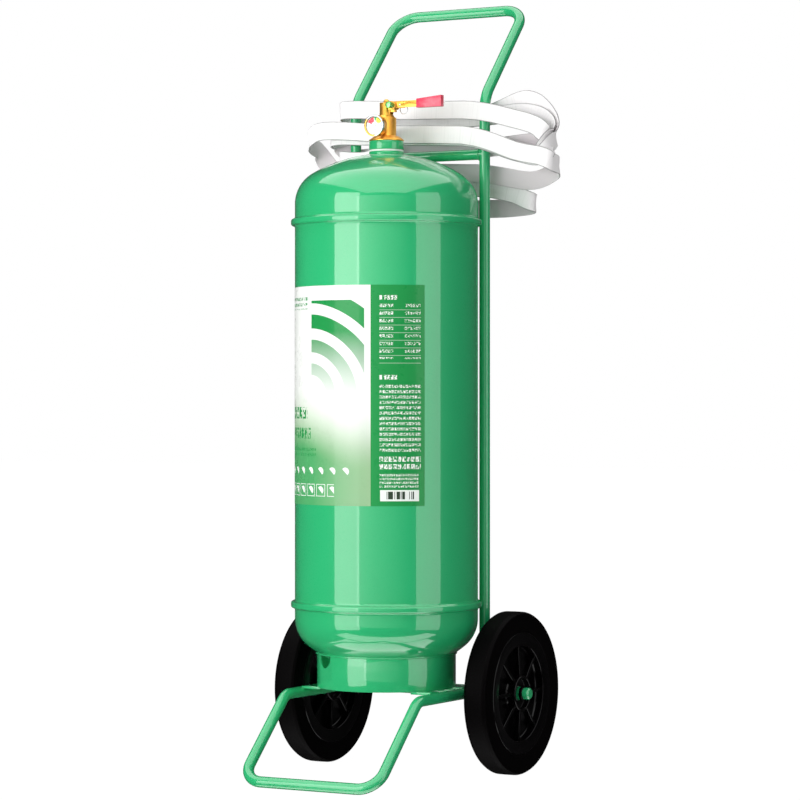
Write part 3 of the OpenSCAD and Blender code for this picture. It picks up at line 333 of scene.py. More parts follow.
finishes = {}  # each of the record's slots and its material


def paint(piece, slot):
    """Gives the whole of a piece one slot's finish."""
    piece.data.materials.clear()
    piece.data.materials.append(finishes[slot])
    for face in piece.data.polygons:
        face.material_index = 0


def dress(piece, slot, body):
    """Gives a piece the finish of the record's slot, and the body it rides on."""
    paint(piece, slot)
    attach(piece, body)
    return piece


# ---------- shader groups and finishes ----------
class Bench:
    """Adds and joins the nodes of one tree."""

    def __init__(self, tree):
        self.tree = tree

    def put(self, target, value):
        if isinstance(value, bpy.types.NodeSocket):
            self.tree.links.new(value, target)
        elif value is not None:
            target.default_value = value

    def fill(self, node, **inputs):
        """Gives a node's inputs their values or links. Underscores stand for spaces."""
        for key, value in inputs.items():
            self.put(node.inputs[key.replace("_", " ")], value)
        return node

    def node(self, kind, values=None, **inputs):
        n = self.tree.nodes.new(kind)
        for key, value in (values or {}).items():
            setattr(n, key, value)
        return self.fill(n, **inputs)

    def group(self, name, **inputs):
        return self.node("ShaderNodeGroup", {"node_tree": bpy.data.node_groups[name]}, **inputs)

    def math(self, operation, *values, clamp=False):
        n = self.node("ShaderNodeMath", {"operation": operation, "use_clamp": clamp})
        for socket, value in zip(n.inputs, values):
            self.put(socket, value)
        return n.outputs[0]

    def fold(self, operation, values):
        """Joins two or more values by one operation, from left to right."""
        result = values[0]
        for value in values[1:]:
            result = self.math(operation, result, value)
        return result

    def times(self, *values):
        return self.fold("MULTIPLY", values)

    def plus(self, *values):
        return self.fold("ADD", values)

    def most(self, *values):
        return self.fold("MAXIMUM", values)

    def minus(self, a, b):
        return self.math("SUBTRACT", a, b)

    def over(self, a, b):
        return self.math("DIVIDE", a, b)

    def below(self, value, limit):
        return self.math("LESS_THAN", value, limit)

    def above(self, value, limit):
        return self.math("GREATER_THAN", value, limit)

    def reach(self, a, b):
        """The distance that two sides at right angles span."""
        return self.math("SQRT", self.plus(self.times(a, a), self.times(b, b)))

    def mix(self, factor, a, b):
        n = self.node("ShaderNodeMix", {"data_type": "RGBA"})
        for index, value in ((0, factor), (6, a), (7, b)):
            if isinstance(value, (tuple, list)):
                value = (*value[:3], 1)
            self.put(n.inputs[index], value)
        return n.outputs[2]

    def noise(self, vector, scale, detail, rough=0.5):
        n = self.node("ShaderNodeTexNoise", Vector=vector, Scale=scale, Detail=detail, Roughness=rough)
        return n.outputs["Fac"]

    def stretch(self, value, low, high, to_low=0.0, to_high=1.0):
        n = self.tree.nodes.new("ShaderNodeMapRange")
        for index, v in enumerate((value, low, high, to_low, to_high)):
            self.put(n.inputs[index], v)
        return n.outputs[0]

    def place(self):
        return self.node("ShaderNodeTexCoord").outputs["Object"]

    def split(self, vector):
        return self.node("ShaderNodeSeparateXYZ", Vector=vector).outputs

    def scaled(self, vector, scale):
        return self.node("ShaderNodeMapping", Vector=vector, Scale=scale).outputs[0]

    def bump(self, height, strength, distance):
        n = self.node("ShaderNodeBump", Height=height, Strength=strength, Distance=distance)
        return n.outputs["Normal"]

    def box(self, across, up, left, right, bottom, top):
        """1 inside a rectangle."""
        return self.group("box_mask", Across=across, Up=up, Left=left, Right=right, Bottom=bottom,
                          Top=top).outputs["Mask"]

    def drift(self, tone, amount, scale):
        return self.group("tone_drift", Color=tone, Amount=amount, Scale=scale).outputs["Color"]


def new_group(name, inputs, outputs):
    """A shader group with its sockets: its bench, what comes in, and the node that hands things out."""
    tree = bpy.data.node_groups.new(name, "ShaderNodeTree")
    for label, kind, default in inputs:
        tree.interface.new_socket(label, in_out="INPUT", socket_type=kind).default_value = default
    for label, kind in outputs:
        tree.interface.new_socket(label, in_out="OUTPUT", socket_type=kind)
    return Bench(tree), tree.nodes.new("NodeGroupInput").outputs, tree.nodes.new("NodeGroupOutput")


def shade_groups():
    """The effects that several finishes share."""
    tone, number, vector = "NodeSocketColor", "NodeSocketFloat", "NodeSocketVector"
    white = (1, 1, 1, 1)
    b, given, out = new_group(
        "surface_grain", [("Scale", number, 400.0), ("Strength", number, 0.1), ("Distance", number, 0.0002)],
        [("Normal", vector), ("Mask", number)])
    grain = b.noise(b.place(), given["Scale"], 4, 0.6)
    b.fill(out, Normal=b.bump(grain, given["Strength"], given["Distance"]), Mask=b.stretch(grain, 0.35, 0.65))

    b, given, out = new_group(
        "edge_wear", [("Base", tone, white), ("Worn", tone, white), ("Amount", number, 0.3),
                      ("Patches", number, 60.0)], [("Color", tone), ("Mask", number)])
    edge = b.stretch(b.node("ShaderNodeNewGeometry").outputs["Pointiness"], 0.53, 0.62)
    patch = b.stretch(b.noise(b.place(), given["Patches"], 5, 0.65), 0.45, 0.65)
    mask = b.math("MULTIPLY", b.times(edge, patch), given["Amount"], clamp=True)
    b.fill(out, Color=b.mix(mask, given["Base"], given["Worn"]), Mask=mask)

    b, given, out = new_group(
        "tone_drift", [("Color", tone, white), ("Amount", number, 0.1), ("Scale", number, 6.0)],
        [("Color", tone)])
    shift = b.stretch(b.noise(b.place(), given["Scale"], 3, 0.55), 0.3, 0.7, -1.0, 1.0)
    value = b.math("MULTIPLY_ADD", shift, given["Amount"], 1.0)
    tint = b.node("ShaderNodeHueSaturation", Color=given["Color"], Value=value)
    b.fill(out, Color=tint.outputs["Color"])

    b, given, out = new_group(
        "box_mask", [("Across", number, 0.0), ("Up", number, 0.0), ("Left", number, 0.0),
                     ("Right", number, 1.0), ("Bottom", number, 0.0), ("Top", number, 1.0)],
        [("Mask", number)])
    b.fill(out, Mask=b.times(
        b.above(given["Across"], given["Left"]), b.below(given["Across"], given["Right"]),
        b.above(given["Up"], given["Bottom"]), b.below(given["Up"], given["Top"])))


def new_material(name):
    material = bpy.data.materials.new(name)
    material.use_nodes = True
    return material, Bench(material.node_tree), material.node_tree.nodes["Principled BSDF"]


def rgba(tone):
    return (*tone[:3], 1)


def shaded(tone, share):
    return tuple(c * share for c in tone)


def finish_plain(name, tone, rough, metal=0.0, coat=0.0, drift=0.06, grain=(500, 0.08, 0.0002), worn=None,
                 wear=0.4, drift_scale=8.0, coat_rough=0.05, specular=0.5):
    """A moulded, cast or painted finish: drifting colour, fine grain, worn edges."""
    material, b, shader = new_material(name)
    tone = b.drift(rgba(tone), drift, drift_scale)
    if worn:
        tone = b.group("edge_wear", Base=tone, Worn=rgba(worn), Amount=wear, Patches=70.0).outputs["Color"]
    scale, strength, depth = grain
    texture = b.group("surface_grain", Scale=scale, Strength=strength, Distance=depth).outputs
    b.fill(shader, Base_Color=tone, Normal=texture["Normal"],
           Roughness=b.stretch(texture["Mask"], 0, 1, rough - 0.04, rough + 0.04), Metallic=metal,
           Coat_Weight=coat, Coat_Roughness=coat_rough, Specular_IOR_Level=specular)
    return material


def finish_brass(name, tone):
    """Cast and machined brass, a little tarnished in patches, with fine turning marks."""
    material, b, shader = new_material(name)
    place = b.place()
    tarnish = b.stretch(b.noise(place, 90.0, 5, 0.6), 0.42, 0.7)
    tone = b.mix(b.times(tarnish, 0.35), tuple(tone), shaded(tone, 0.62))
    tone = b.group("edge_wear", Base=tone, Worn=(0.93, 0.66, 0.28, 1), Amount=0.6, Patches=120.0)
    marks = b.noise(b.scaled(place, (60, 60, 1800)), 1.0, 2)
    b.fill(shader, Base_Color=tone.outputs["Color"], Metallic=0.85,
           Normal=b.bump(b.plus(marks, b.noise(place, 900.0, 3)), 0.12, 0.0001),
           Roughness=b.stretch(tarnish, 0, 1, 0.30, 0.46))
    return material


def finish_hose(name, cloth, width):
    """Woven white jacket: a fine twill that follows the hose, a little grey where it was handled, with
    painted shade along its folded edges and on the inner faces of the lower turns.
    """
    material, b, shader = new_material(name)
    sheet = b.node("ShaderNodeUVMap", {"uv_map": "hose_sheet"}).outputs["UV"]
    parts = b.split(sheet)
    across, lengthwise = parts["X"], parts["Y"]
    place = b.place()
    warp = b.math("SINE", b.times(b.plus(across, b.times(lengthwise, 0.5)), 5200.0))
    weft = b.math("SINE", b.times(lengthwise, 3900.0))
    weave = b.plus(b.times(warp, 0.5), b.times(weft, 0.5))
    soil = b.stretch(b.noise(place, 22.0, 5, 0.6), 0.5, 0.85)
    tone = b.mix(b.times(soil, 0.35), tuple(cloth), shaded(cloth, 0.80))
    tone = b.mix(b.stretch(weave, -1, 1, 0.08, 0.0), tone, (0.45, 0.45, 0.43))
    # painted shade: the two folded edges are darker, as the shade along the folds
    side = b.math("MODULO", across, width)
    edge = b.stretch(b.math("MINIMUM", side, b.minus(width, side)), 0.002, 0.0074, 0.92, 0)
    tone = b.mix(edge, tone, (0.06, 0.06, 0.06))
    # thin grey streaks across the cloth, and painted shade on the inner faces of the lower turns
    streak = b.noise(b.scaled(sheet, (18, 330, 1)), 1.0, 4, 0.6)
    tone = b.mix(b.stretch(streak, 0.52, 0.8, 0, 0.26), tone, (0.42, 0.42, 0.42))
    inner = b.node("ShaderNodeAttribute", {"attribute_name": "inner_face"}).outputs["Fac"]
    inner_shade = b.times(b.stretch(inner, 0.4, 0.6), b.stretch(b.split(place)["Z"], 1.055, 1.085, 1, 0))
    tone = b.mix(inner_shade, tone, tuple(c * k for c, k in zip(cloth, (0.735, 0.69, 0.715))))
    creases = b.noise(b.scaled(sheet, (25, 60, 1)), 1.0, 3)
    height = b.plus(b.times(weave, 0.25), b.times(creases, 1.6))
    b.fill(shader, Base_Color=tone, Roughness=b.stretch(soil, 0, 1, 0.72, 0.86), Sheen_Weight=0.25,
           Sheen_Roughness=0.5, Normal=b.bump(height, 0.25, 0.0005))
    return material


def finish_label(name, ink):
    """Printed film: a white panel with rising rings that fade, and a green panel with rows of marks."""
    material, b, shader = new_material(name)
    place = b.split(b.place())
    # millimetres round the shell from the front, and up from the floor
    across = b.times(b.math("ARCTAN2", place["X"], b.minus(AXIS.y, place["Y"])), SHELL_RADIUS_MM)
    up = b.times(place["Z"], 1000.0)
    ink = tuple(ink)

    def box(left, right, bottom, top):
        return b.box(across, up, left, right, bottom, top)

    def cells(step):
        """A random value for each small square of the print."""
        grid = b.node("ShaderNodeCombineXYZ", X=b.math("FLOOR", b.over(across, step)),
                      Y=b.math("FLOOR", b.over(up, step)), Z=3.0)
        return b.node("ShaderNodeTexWhiteNoise", {"noise_dimensions": "3D"},
                      Vector=grid.outputs[0]).outputs["Value"]

    def first(value, step, share):
        """1 in the first share of every step."""
        return b.below(b.math("MODULO", b.plus(value, 1000 * step), step), step * share)

    def rows(left, right, bottom, top, pitch, filled, glyph, gaps=0.45):
        """Rows of small broken marks, like print too small to read; filled and gaps are shares."""
        line = first(b.minus(top, up), pitch, filled)
        return b.times(first(b.minus(across, left), glyph, 0.8), line, b.above(cells(glyph / 4), gaps),
                       box(left, right, bottom, top))

    # the lower part of the white panel turns green, straw-coloured at its right
    white, straw = (0.80, 0.82, 0.79), (0.27, 0.45, 0.24)
    drop = b.stretch(up, 655, 476)
    low = b.stretch(b.minus(drop, b.times(b.stretch(across, -90, 20), 0.2)), 0.0, 0.62)
    soft = b.node("ShaderNodeMapRange", {"interpolation_type": "SMOOTHSTEP"}, Value=low).outputs[0]
    leaf = b.mix(b.stretch(low, 0.35, 1.0), (0.30, 0.50, 0.23), (0.045, 0.34, 0.10))
    tone = b.mix(b.times(soft, 0.96), white, b.mix(b.stretch(across, -60, 60), leaf, straw))
    # rings that rise from the lower left and fade downwards
    far = b.reach(b.minus(across, -62), b.minus(up, 628))
    shown = b.times(box(-62, 44, 622, 786), b.stretch(up, 622, 735))
    for radius, width in ((46, 19), (84, 21), (124, 23), (166, 25)):
        ring = b.below(b.math("ABSOLUTE", b.minus(far, radius)), width / 2)
        tone = b.mix(b.times(ring, shown), tone, ink)
    # the white panel's rows of print
    for area in ((-150, -74, 590, 612, 22, 0.86, 15, 0.3), (-150, -64, 556, 578, 22, 0.8, 11, 0.35),
                 (-150, -50, 528, 545, 8.5, 0.5, 4.6, 0.5), (-150, -72, 772, 792, 9, 0.6, 6.4, 0.4)):
        tone = b.mix(rows(*area), tone, ink)
    # pictogram tiles with a plain sign in each, the lower row with pale outlines
    print_white = (0.80, 0.84, 0.80)
    for bottom, right, framed in ((466, -10, True), (497, 22, False)):
        cell = b.math("MODULO", b.plus(across, 400), 25.0)
        local = b.minus(up, bottom)
        cx, cy = b.minus(cell, 11.2), b.minus(local, 10.5)
        sign = b.times(b.below(b.reach(cx, cy), 6.6), b.above(b.plus(cx, cy), -1.5))
        if framed:
            outline = b.minus(b.box(cell, local, 1, 21.5, 0.5, 20.5), b.box(cell, local, 2, 20.5, 1.5, 19.5))
            sign = b.most(sign, outline)
        tone = b.mix(b.times(sign, box(-150, right, bottom, bottom + 21)), tone, print_white)
    # green panel with its headings, table, paragraphs and bold lines, then its rules and striped box
    tone = b.mix(box(54.5, 200, 0, 900), tone, ink)
    for area in ((69, 74, 785, 793, 9, 0.8, 5.2, 0.1), (76, 98, 785, 793, 9, 0.8, 5.6, 0.35),
                 (69, 92, 690, 779, 12.3, 0.42, 4.6), (110, 137, 690, 779, 12.3, 0.42, 4.6, 0.6),
                 (69, 74, 656, 664, 9, 0.8, 5.2, 0.1), (76, 98, 656, 664, 9, 0.8, 5.6, 0.35),
                 (69, 137, 538, 648, 8.6, 0.56, 4.8), (69, 137, 509, 532, 12, 0.68, 7.4, 0.35),
                 (69, 133, 482, 504, 6.2, 0.6, 3.8)):
        tone = b.mix(rows(*area), tone, print_white)
    rules = first(b.minus(782.0, up), 12.3, 0.06)
    tone = b.mix(b.times(rules, box(69, 137, 682, 778), 0.5), tone, print_white)
    bars = b.node("ShaderNodeTexWhiteNoise", {"noise_dimensions": "1D"},
                  W=b.math("FLOOR", b.over(across, 1.15))).outputs["Value"]
    tone = b.mix(box(70, 134, 460, 478), tone, print_white)
    stripes = b.times(b.above(bars, 0.5), box(76, 128, 463, 475.5))
    tone = b.mix(stripes, tone, (0.03, 0.05, 0.03))
    grain = b.group("surface_grain", Scale=60.0).outputs["Mask"]
    b.fill(shader, Base_Color=b.drift(tone, 0.02, 9.0), Roughness=b.stretch(grain, 0, 1, 0.26, 0.34),
           Coat_Weight=0.14, Coat_Roughness=0.05, Specular_IOR_Level=0.12)
    return material


def off_middle(b, node):
    """How far a spot lies to the right of a piece's middle, and above it."""
    centre, place = middle(node), b.split(b.place())
    return b.minus(place["X"], centre.x), b.minus(place["Z"], centre.z)


def finish_dial(name):
    """White dial with red, green and yellow sectors and small ticks."""
    material, b, shader = new_material(name)
    # millimetres from the dial's middle, then degrees round it and the distance from it
    dx, dz = (b.times(value, 1000.0) for value in off_middle(b, "gauge_dial"))
    turn = b.times(b.math("ARCTAN2", dx, dz), math.degrees(1))
    reach = b.reach(dx, dz)
    tone = (0.84, 0.84, 0.81)
    for low, high, start, end, print_tone in (
            (6.2, 14.2, -68, -8, (0.75, 0.03, 0.06)), (8.2, 14.2, -8, 18, (0.03, 0.36, 0.12)),
            (6.8, 14.2, 18, 68, (0.85, 0.68, 0.03))):
        tone = b.mix(b.box(turn, reach, start, end, low, high), tone, print_tone)
    ticks = b.below(b.math("MODULO", b.plus(turn, 391.0), 15.5), 1.6)
    tone = b.mix(b.times(ticks, b.box(turn, reach, -64, 64, 13.2, 14.8)), tone, (0.02, 0.02, 0.02))
    tone = b.mix(b.box(turn, reach, -181, 181, 0, 2.6), tone, (0.05, 0.05, 0.05))
    for bottom in (-9.4, -7.2):
        tone = b.mix(b.box(dx, dz, -4.0, 4.0, bottom, bottom + 0.9), tone, (0.10, 0.10, 0.10))
    texture = b.group("surface_grain", Scale=900.0, Strength=0.03, Distance=0.0001).outputs
    b.fill(shader, Base_Color=b.drift(tone, 0.02, 80.0), Normal=texture["Normal"], Roughness=0.45)
    return material


def finish_bezel(name, brass):
    """Chrome that is brass-coloured on the side away from the lever, with painted shadow as a dark line round
    its lip.
    """
    material, b, shader = new_material(name)
    dx, dz = off_middle(b, "gauge_bezel")
    # brass-coloured on the side away from the lever
    brass_side = b.stretch(b.math("MULTIPLY_ADD", dz, 0.55, dx), -0.009, -0.004, 1, 0)
    tone = b.mix(brass_side, (0.42, 0.47, 0.48), tuple(brass))
    # painted shadow: a dark line round the bezel's lip
    tone = b.mix(b.stretch(b.reach(dx, dz), 0.0168, 0.0158, 0, 0.55), tone, (0.06, 0.07, 0.07))
    b.fill(shader, Base_Color=b.drift(tone, 0.03, 60.0), Roughness=b.stretch(brass_side, 0, 1, 0.07, 0.25),
           Metallic=1.0)
    return material


def finish_window(name):
    """Clear glass with faint smears."""
    material, b, shader = new_material(name)
    smear = b.stretch(b.noise(b.place(), 60.0, 4), 0.3, 0.8, 0.02, 0.08)
    b.fill(shader, Base_Color=b.drift((0.97, 0.99, 0.99, 1), 0.01, 40.0), Roughness=smear,
           Transmission_Weight=1.0, IOR=1.05)
    return material


class EXT_OT_finishes(bpy.types.Operator):
    """Makes the paint, metal, plastic, rubber, print and cloth that the pieces use"""

    bl_idname = "extinguisher.finishes"
    bl_label = "Finishes"

    def execute(self, context):
        colours = context.scene.ext_colours
        shade_groups()
        plain = finish_plain
        finishes.update(
            green_paint=plain("green_powder_coat", colours.green, 0.30, coat=1.0, drift=0.05,
                              grain=(700, 0.05, 0.00015), worn=(0.10, 0.60, 0.28), wear=0.35, drift_scale=3.0,
                              coat_rough=0.02, specular=0.15),
            green_bolt=plain("green_zinc", (0.16, 0.55, 0.16), 0.25, metal=0.75, drift=0.15,
                             worn=(0.7, 0.85, 0.6)),
            brass=finish_brass("valve_brass", colours.brass),
            chrome=finish_bezel("gauge_chrome", colours.brass),
            steel=plain("bright_steel", (0.56, 0.56, 0.58), 0.28, metal=1.0, grain=(1200, 0.1, 0.0001)),
            black_rubber=plain("tyre_rubber", (0.0006, 0.0004, 0.0005), 0.5, drift=0.25, drift_scale=25.0,
                               grain=(900, 0.1, 0.0002), worn=(0.003, 0.003, 0.003), specular=0.02),
            black_plastic=plain("hub_plastic", (0.0005, 0.0003, 0.0005), 0.30, drift=0.2, drift_scale=20.0,
                                grain=(1400, 0.05, 0.0001), worn=(0.004, 0.004, 0.004), wear=0.3,
                                specular=0.04, coat=0.2, coat_rough=0.04),
            seal_rubber=plain("seal_rubber", (0.015, 0.015, 0.015), 0.6, drift=0.2,
                              grain=(1500, 0.2, 0.0002)),
            white_plastic=plain("white_plastic", (0.80, 0.80, 0.78), 0.45, drift=0.03),
            red_plastic=plain("grip_plastic", colours.red, 0.38, drift=0.04, grain=(1600, 0.12, 0.0002),
                              worn=(0.85, 0.30, 0.33), wear=0.5, coat=0.2),
            hose_fabric=finish_hose("hose_jacket", colours.hose, context.scene.ext_hose.width),
            label=finish_label("label_print", colours.label_green),
            dial=finish_dial("gauge_print"),
            window=finish_window("gauge_glass"),
        )
        return {"FINISHED"}


# ---------- stage ----------
def add_lamps():
    """Lamps round the vessel: strips stand level with it, and panels aim at its middle."""
    target = Vector((0, AXIS.y, 0.62))
    # bearing and height of each lamp, its distance, width, height and power, and what it lights
    for name, bearing, height, far, wide, tall, power, lights in (
            ("strip_left", -19.6, 0.62, 2.6, 1.55, 2.66, 54, "both"),
            ("strip_right", 83, 0.62, 2.6, 1.55, 2.66, 31, "gloss"),
            ("panel_top", 20, 3.4, 1.6, 2.6, 1.4, 34, "matt"),
            ("panel_front", 2, 1.4, 4.0, 2.2, 1.6, 44, "matt"),
            ("panel_side", 105, 1.3, 3.0, 1.2, 1.6, 9, "matt"),
            ("panel_left", -84, 0.8, 3.2, 1.4, 2.4, 9, "matt"),
            ("strip_left_gloss", -19.6, 1.2, 2.61, 1.55, 1.5, 10.7, "gloss")):
        a = math.radians(bearing)
        spot = target + Vector((math.sin(a) * far, -math.cos(a) * far, 0))
        spot.z = height
        aim = target if name.startswith("panel") else Vector((0, AXIS.y, height))
        turn = (aim - spot).to_track_quat("-Z", "Y").to_euler()
        bpy.ops.object.light_add(type="AREA", location=spot, rotation=turn)
        lamp = bpy.context.object
        lamp.name = name
        lamp.data.shape, lamp.data.size, lamp.data.size_y, lamp.data.energy = "RECTANGLE", wide, tall, power
        lamp.visible_diffuse, lamp.visible_glossy = lights != "gloss", lights != "matt"


def white_world():
    """White surroundings, seen in reflections as soft boxes and a wash between the strips."""
    world = bpy.data.worlds.new("studio_white")
    world.use_nodes = True
    b = Bench(world.node_tree)
    rays = b.node("ShaderNodeLightPath").outputs
    seen = b.most(rays["Is Camera Ray"], rays["Is Transmission Ray"])
    # soft boxes above and below: where each lies on a flat ceiling or floor one metre away
    turn = b.node("ShaderNodeVectorRotate", {"rotation_type": "Z_AXIS"}, Angle=-CAMERA_BEARING,
                  Vector=b.node("ShaderNodeNewGeometry").outputs["Incoming"])
    way = b.split(turn.outputs[0])
    up = b.times(way["Z"], -1.0)
    flat = b.math("ABSOLUTE", up)
    side, near = b.over(way["X"], flat), b.over(way["Y"], flat)
    glow = []
    for left, right, back, front, where, strength in (
            (-1.12, 1.22, -0.75, 2.47, b.above, 2.7), (-1.5, 1.5, 0.42, 1.0, b.below, 3.8),
            (-0.9, 0.9, -0.38, 0.38, b.below, 3.8)):
        glow.append(b.times(b.box(side, near, left, right, back, front), where(up, 0.0), strength))
    # a soft wash between the strips, level with the eye: it fades from left to right, and below the eye
    tilt = b.over(way["X"], way["Y"])
    level = b.below(flat, b.times(way["Y"], 0.25))
    wash = b.times(level, b.below(tilt, 0.76), b.stretch(tilt, -0.6, 0.7, 0.0, 2.4),
                   b.stretch(up, -0.05, 0.06, 0.66, 1.0))
    glossy = b.times(rays["Is Glossy Ray"], b.most(*glow, wash, 0.05))
    matt = b.times(rays["Is Diffuse Ray"], 0.34)
    b.fill(world.node_tree.nodes["Background"], Color=(1, 1, 1, 1), Strength=b.most(seen, glossy, matt))
    return world


def pale_floor():
    """A pale floor that shows white with a faint shadow."""
    bpy.ops.mesh.primitive_plane_add(size=40, location=(0, 0, -0.0005))
    floor = named("studio_floor")
    material, b, shader = new_material("floor_white")
    b.fill(shader, Base_Color=(0.8, 0.8, 0.8, 1), Roughness=0.9, Specular_IOR_Level=0.0)
    glow = b.node("ShaderNodeEmission", Color=(1, 1, 1, 1), Strength=1.045)
    seen = b.node("ShaderNodeLightPath").outputs["Is Camera Ray"]
    blend = b.node("ShaderNodeMixShader", Fac=b.times(seen, 0.95))
    for source, target in ((shader, blend.inputs[1]), (glow, blend.inputs[2]),
                           (blend, b.tree.nodes["Material Output"].inputs["Surface"])):
        b.put(target, source.outputs[0])
    floor.data.materials.append(material)
    floor.visible_glossy = False


class EXT_OT_stage(bpy.types.Operator):
    """Adds the camera, the lamps, the pale floor and the white surroundings"""

    bl_idname = "extinguisher.stage"
    bl_label = "Stage"

    def execute(self, context):
        deselect()
        bpy.ops.object.camera_add(location=(2.4953, -4.2942 + AXIS.y, 0.6236),
                                  rotation=(math.pi / 2, 0, CAMERA_BEARING))
        camera = context.object
        camera.name = "studio_camera"
        camera.data.lens, camera.data.sensor_width = 134.1, 36
        camera.data.clip_start, camera.data.clip_end = 0.05, 60
        context.scene.camera = camera
        context.scene.view_settings.view_transform = "Standard"
        add_lamps()
        context.scene.world = white_world()
        pale_floor()
        return {"FINISHED"}


# ---------- hose ----------
# The route: four turns round the posts, each from the middle of its back run to the right, over the
# front to the left, and back to the middle of the next back run. Metres from the vessel's axis.
HOSE_MID_X = 0.040
TURN_RIGHT_X = [0.242, 0.2475, 0.252, 0.2565]
TURN_LEFT_X = [-0.155, -0.167, -0.172, -0.215]
TURN_FRONT_Y = [0.0998, 0.0955, 0.0914, 0.0872]
TURN_BACK_Y = [0.126, 0.132, 0.138, 0.144, 0.158]
TURN_HEIGHTS = [
    1.046, 1.052, 1.055, 1.060, 1.078, 1.093, 1.113, 1.120, 1.122, 1.119, 1.111, 1.104,
    1.100, 1.105, 1.090, 1.058, 1.031, 1.038, 1.068, 1.075, 1.077, 1.075, 1.080, 1.090,
    1.098, 1.127, 1.096, 1.052, 1.028, 1.038, 1.068, 1.075, 1.077, 1.072, 1.052, 1.032,
    1.010, 0.991, 1.003, 1.016, 1.027, 1.038, 1.071, 1.085, 1.084, 1.062, 1.026, 1.002,
    0.988,
]
LEAD_POINTS = [
    (-.025, .0433, 1.077), (-.031, .0537, 1.0755), (-.038, .063, 1.070), (-.047, .072, 1.060),
    (-.058, .080, 1.048), (-.072, .0875, 1.039), (-.090, .0945, 1.034), (-.110, .0995, 1.033),
    (-.129, .1016, 1.034), (-.147, .104, 1.036), (-.157, .112, 1.037), (-.148, .121, 1.038),
    (-.125, .1254, 1.040), (-.085, .126, 1.042), (-.025, .126, 1.044), (.040, .126, 1.046),
]
TAIL_POINTS = [
    (0.040, 0.1580, 0.988), (0.085, 0.1570, 0.984), (0.125, 0.1540, 0.979), (0.162, 0.1510, 0.970),
    (0.183, 0.1490, 0.961), (0.193, 0.1500, 0.957), (0.198, 0.1560, 0.954), (0.193, 0.1620, 0.952),
    (0.178, 0.1640, 0.950), (0.142, 0.1660, 0.948), (0.095, 0.1680, 0.948), (0.040, 0.1700, 0.948),
    (-0.010, 0.1700, 0.950), (-0.050, 0.1650, 0.954), (-0.078, 0.1570, 0.955), (-0.091, 0.1515, 0.949),
    (-0.095, 0.1500, 0.938), (-0.095, 0.1500, 0.925),
]
RING_STEP = 0.006  # from one ring of the hose's mesh to the next
RING_SIDES = 24
END_RADIUS = 0.0098  # the hose is round inside its clamps
ROUND_END, FLAT_RUN = 0.004, 0.05  # it stays round this far, and is flat this much further on
TWIST_END, TWIST_RUN = 0.012, 0.09  # the same for its turn sideways above the nozzle


def along(points, s):
    """The smooth curve through points, at a place counted in its steps."""
    last = len(points) - 1
    i = min(max(int(math.floor(s)), 0), last - 1)
    t = s - i
    p0, p1, p2, p3 = (points[min(max(k, 0), last)] for k in (i - 1, i, i + 1, i + 2))
    return (p1 + (p2 - p0) * (t / 2) + (p0 * 2 - p1 * 5 + p2 * 4 - p3) * (t * t / 2)
            + (p1 * 3 - p0 - p2 * 3 + p3) * (t * t * t / 2))


def coil_point(s):
    """A place on the four turns, counted in twelfths of a turn."""
    turn = min(int(s / 12), 3)
    angle = math.radians((s - 12 * turn) * 30)
    sine, cosine = math.sin(angle), math.cos(angle)
    right = s - 12 * turn <= 6
    reach = TURN_RIGHT_X[turn] - HOSE_MID_X if right else HOSE_MID_X - TURN_LEFT_X[turn]
    back, front = TURN_BACK_Y[turn if right else turn + 1], TURN_FRONT_Y[turn]
    depth = (back - front) / 2 * math.copysign(abs(cosine) ** (1 / 3), cosine)
    return AXIS + Vector((HOSE_MID_X + reach * math.copysign(abs(sine) ** 0.5, sine),
                          (back + front) / 2 + depth, along(TURN_HEIGHTS, s)))


def even(points, step):
    """Points at even distances along a line."""
    lengths = [0.0]
    for a, b in zip(points, points[1:]):
        lengths.append(lengths[-1] + (b - a).length)
    count = max(int(lengths[-1] / step), 2)
    result, i = [], 0
    for k in range(count + 1):
        want = lengths[-1] * k / count
        while i < len(points) - 2 and lengths[i + 1] < want:
            i += 1
        t = (want - lengths[i]) / max(lengths[i + 1] - lengths[i], 1e-9)
        result.append(points[i].lerp(points[i + 1], min(t, 1)))
    return result


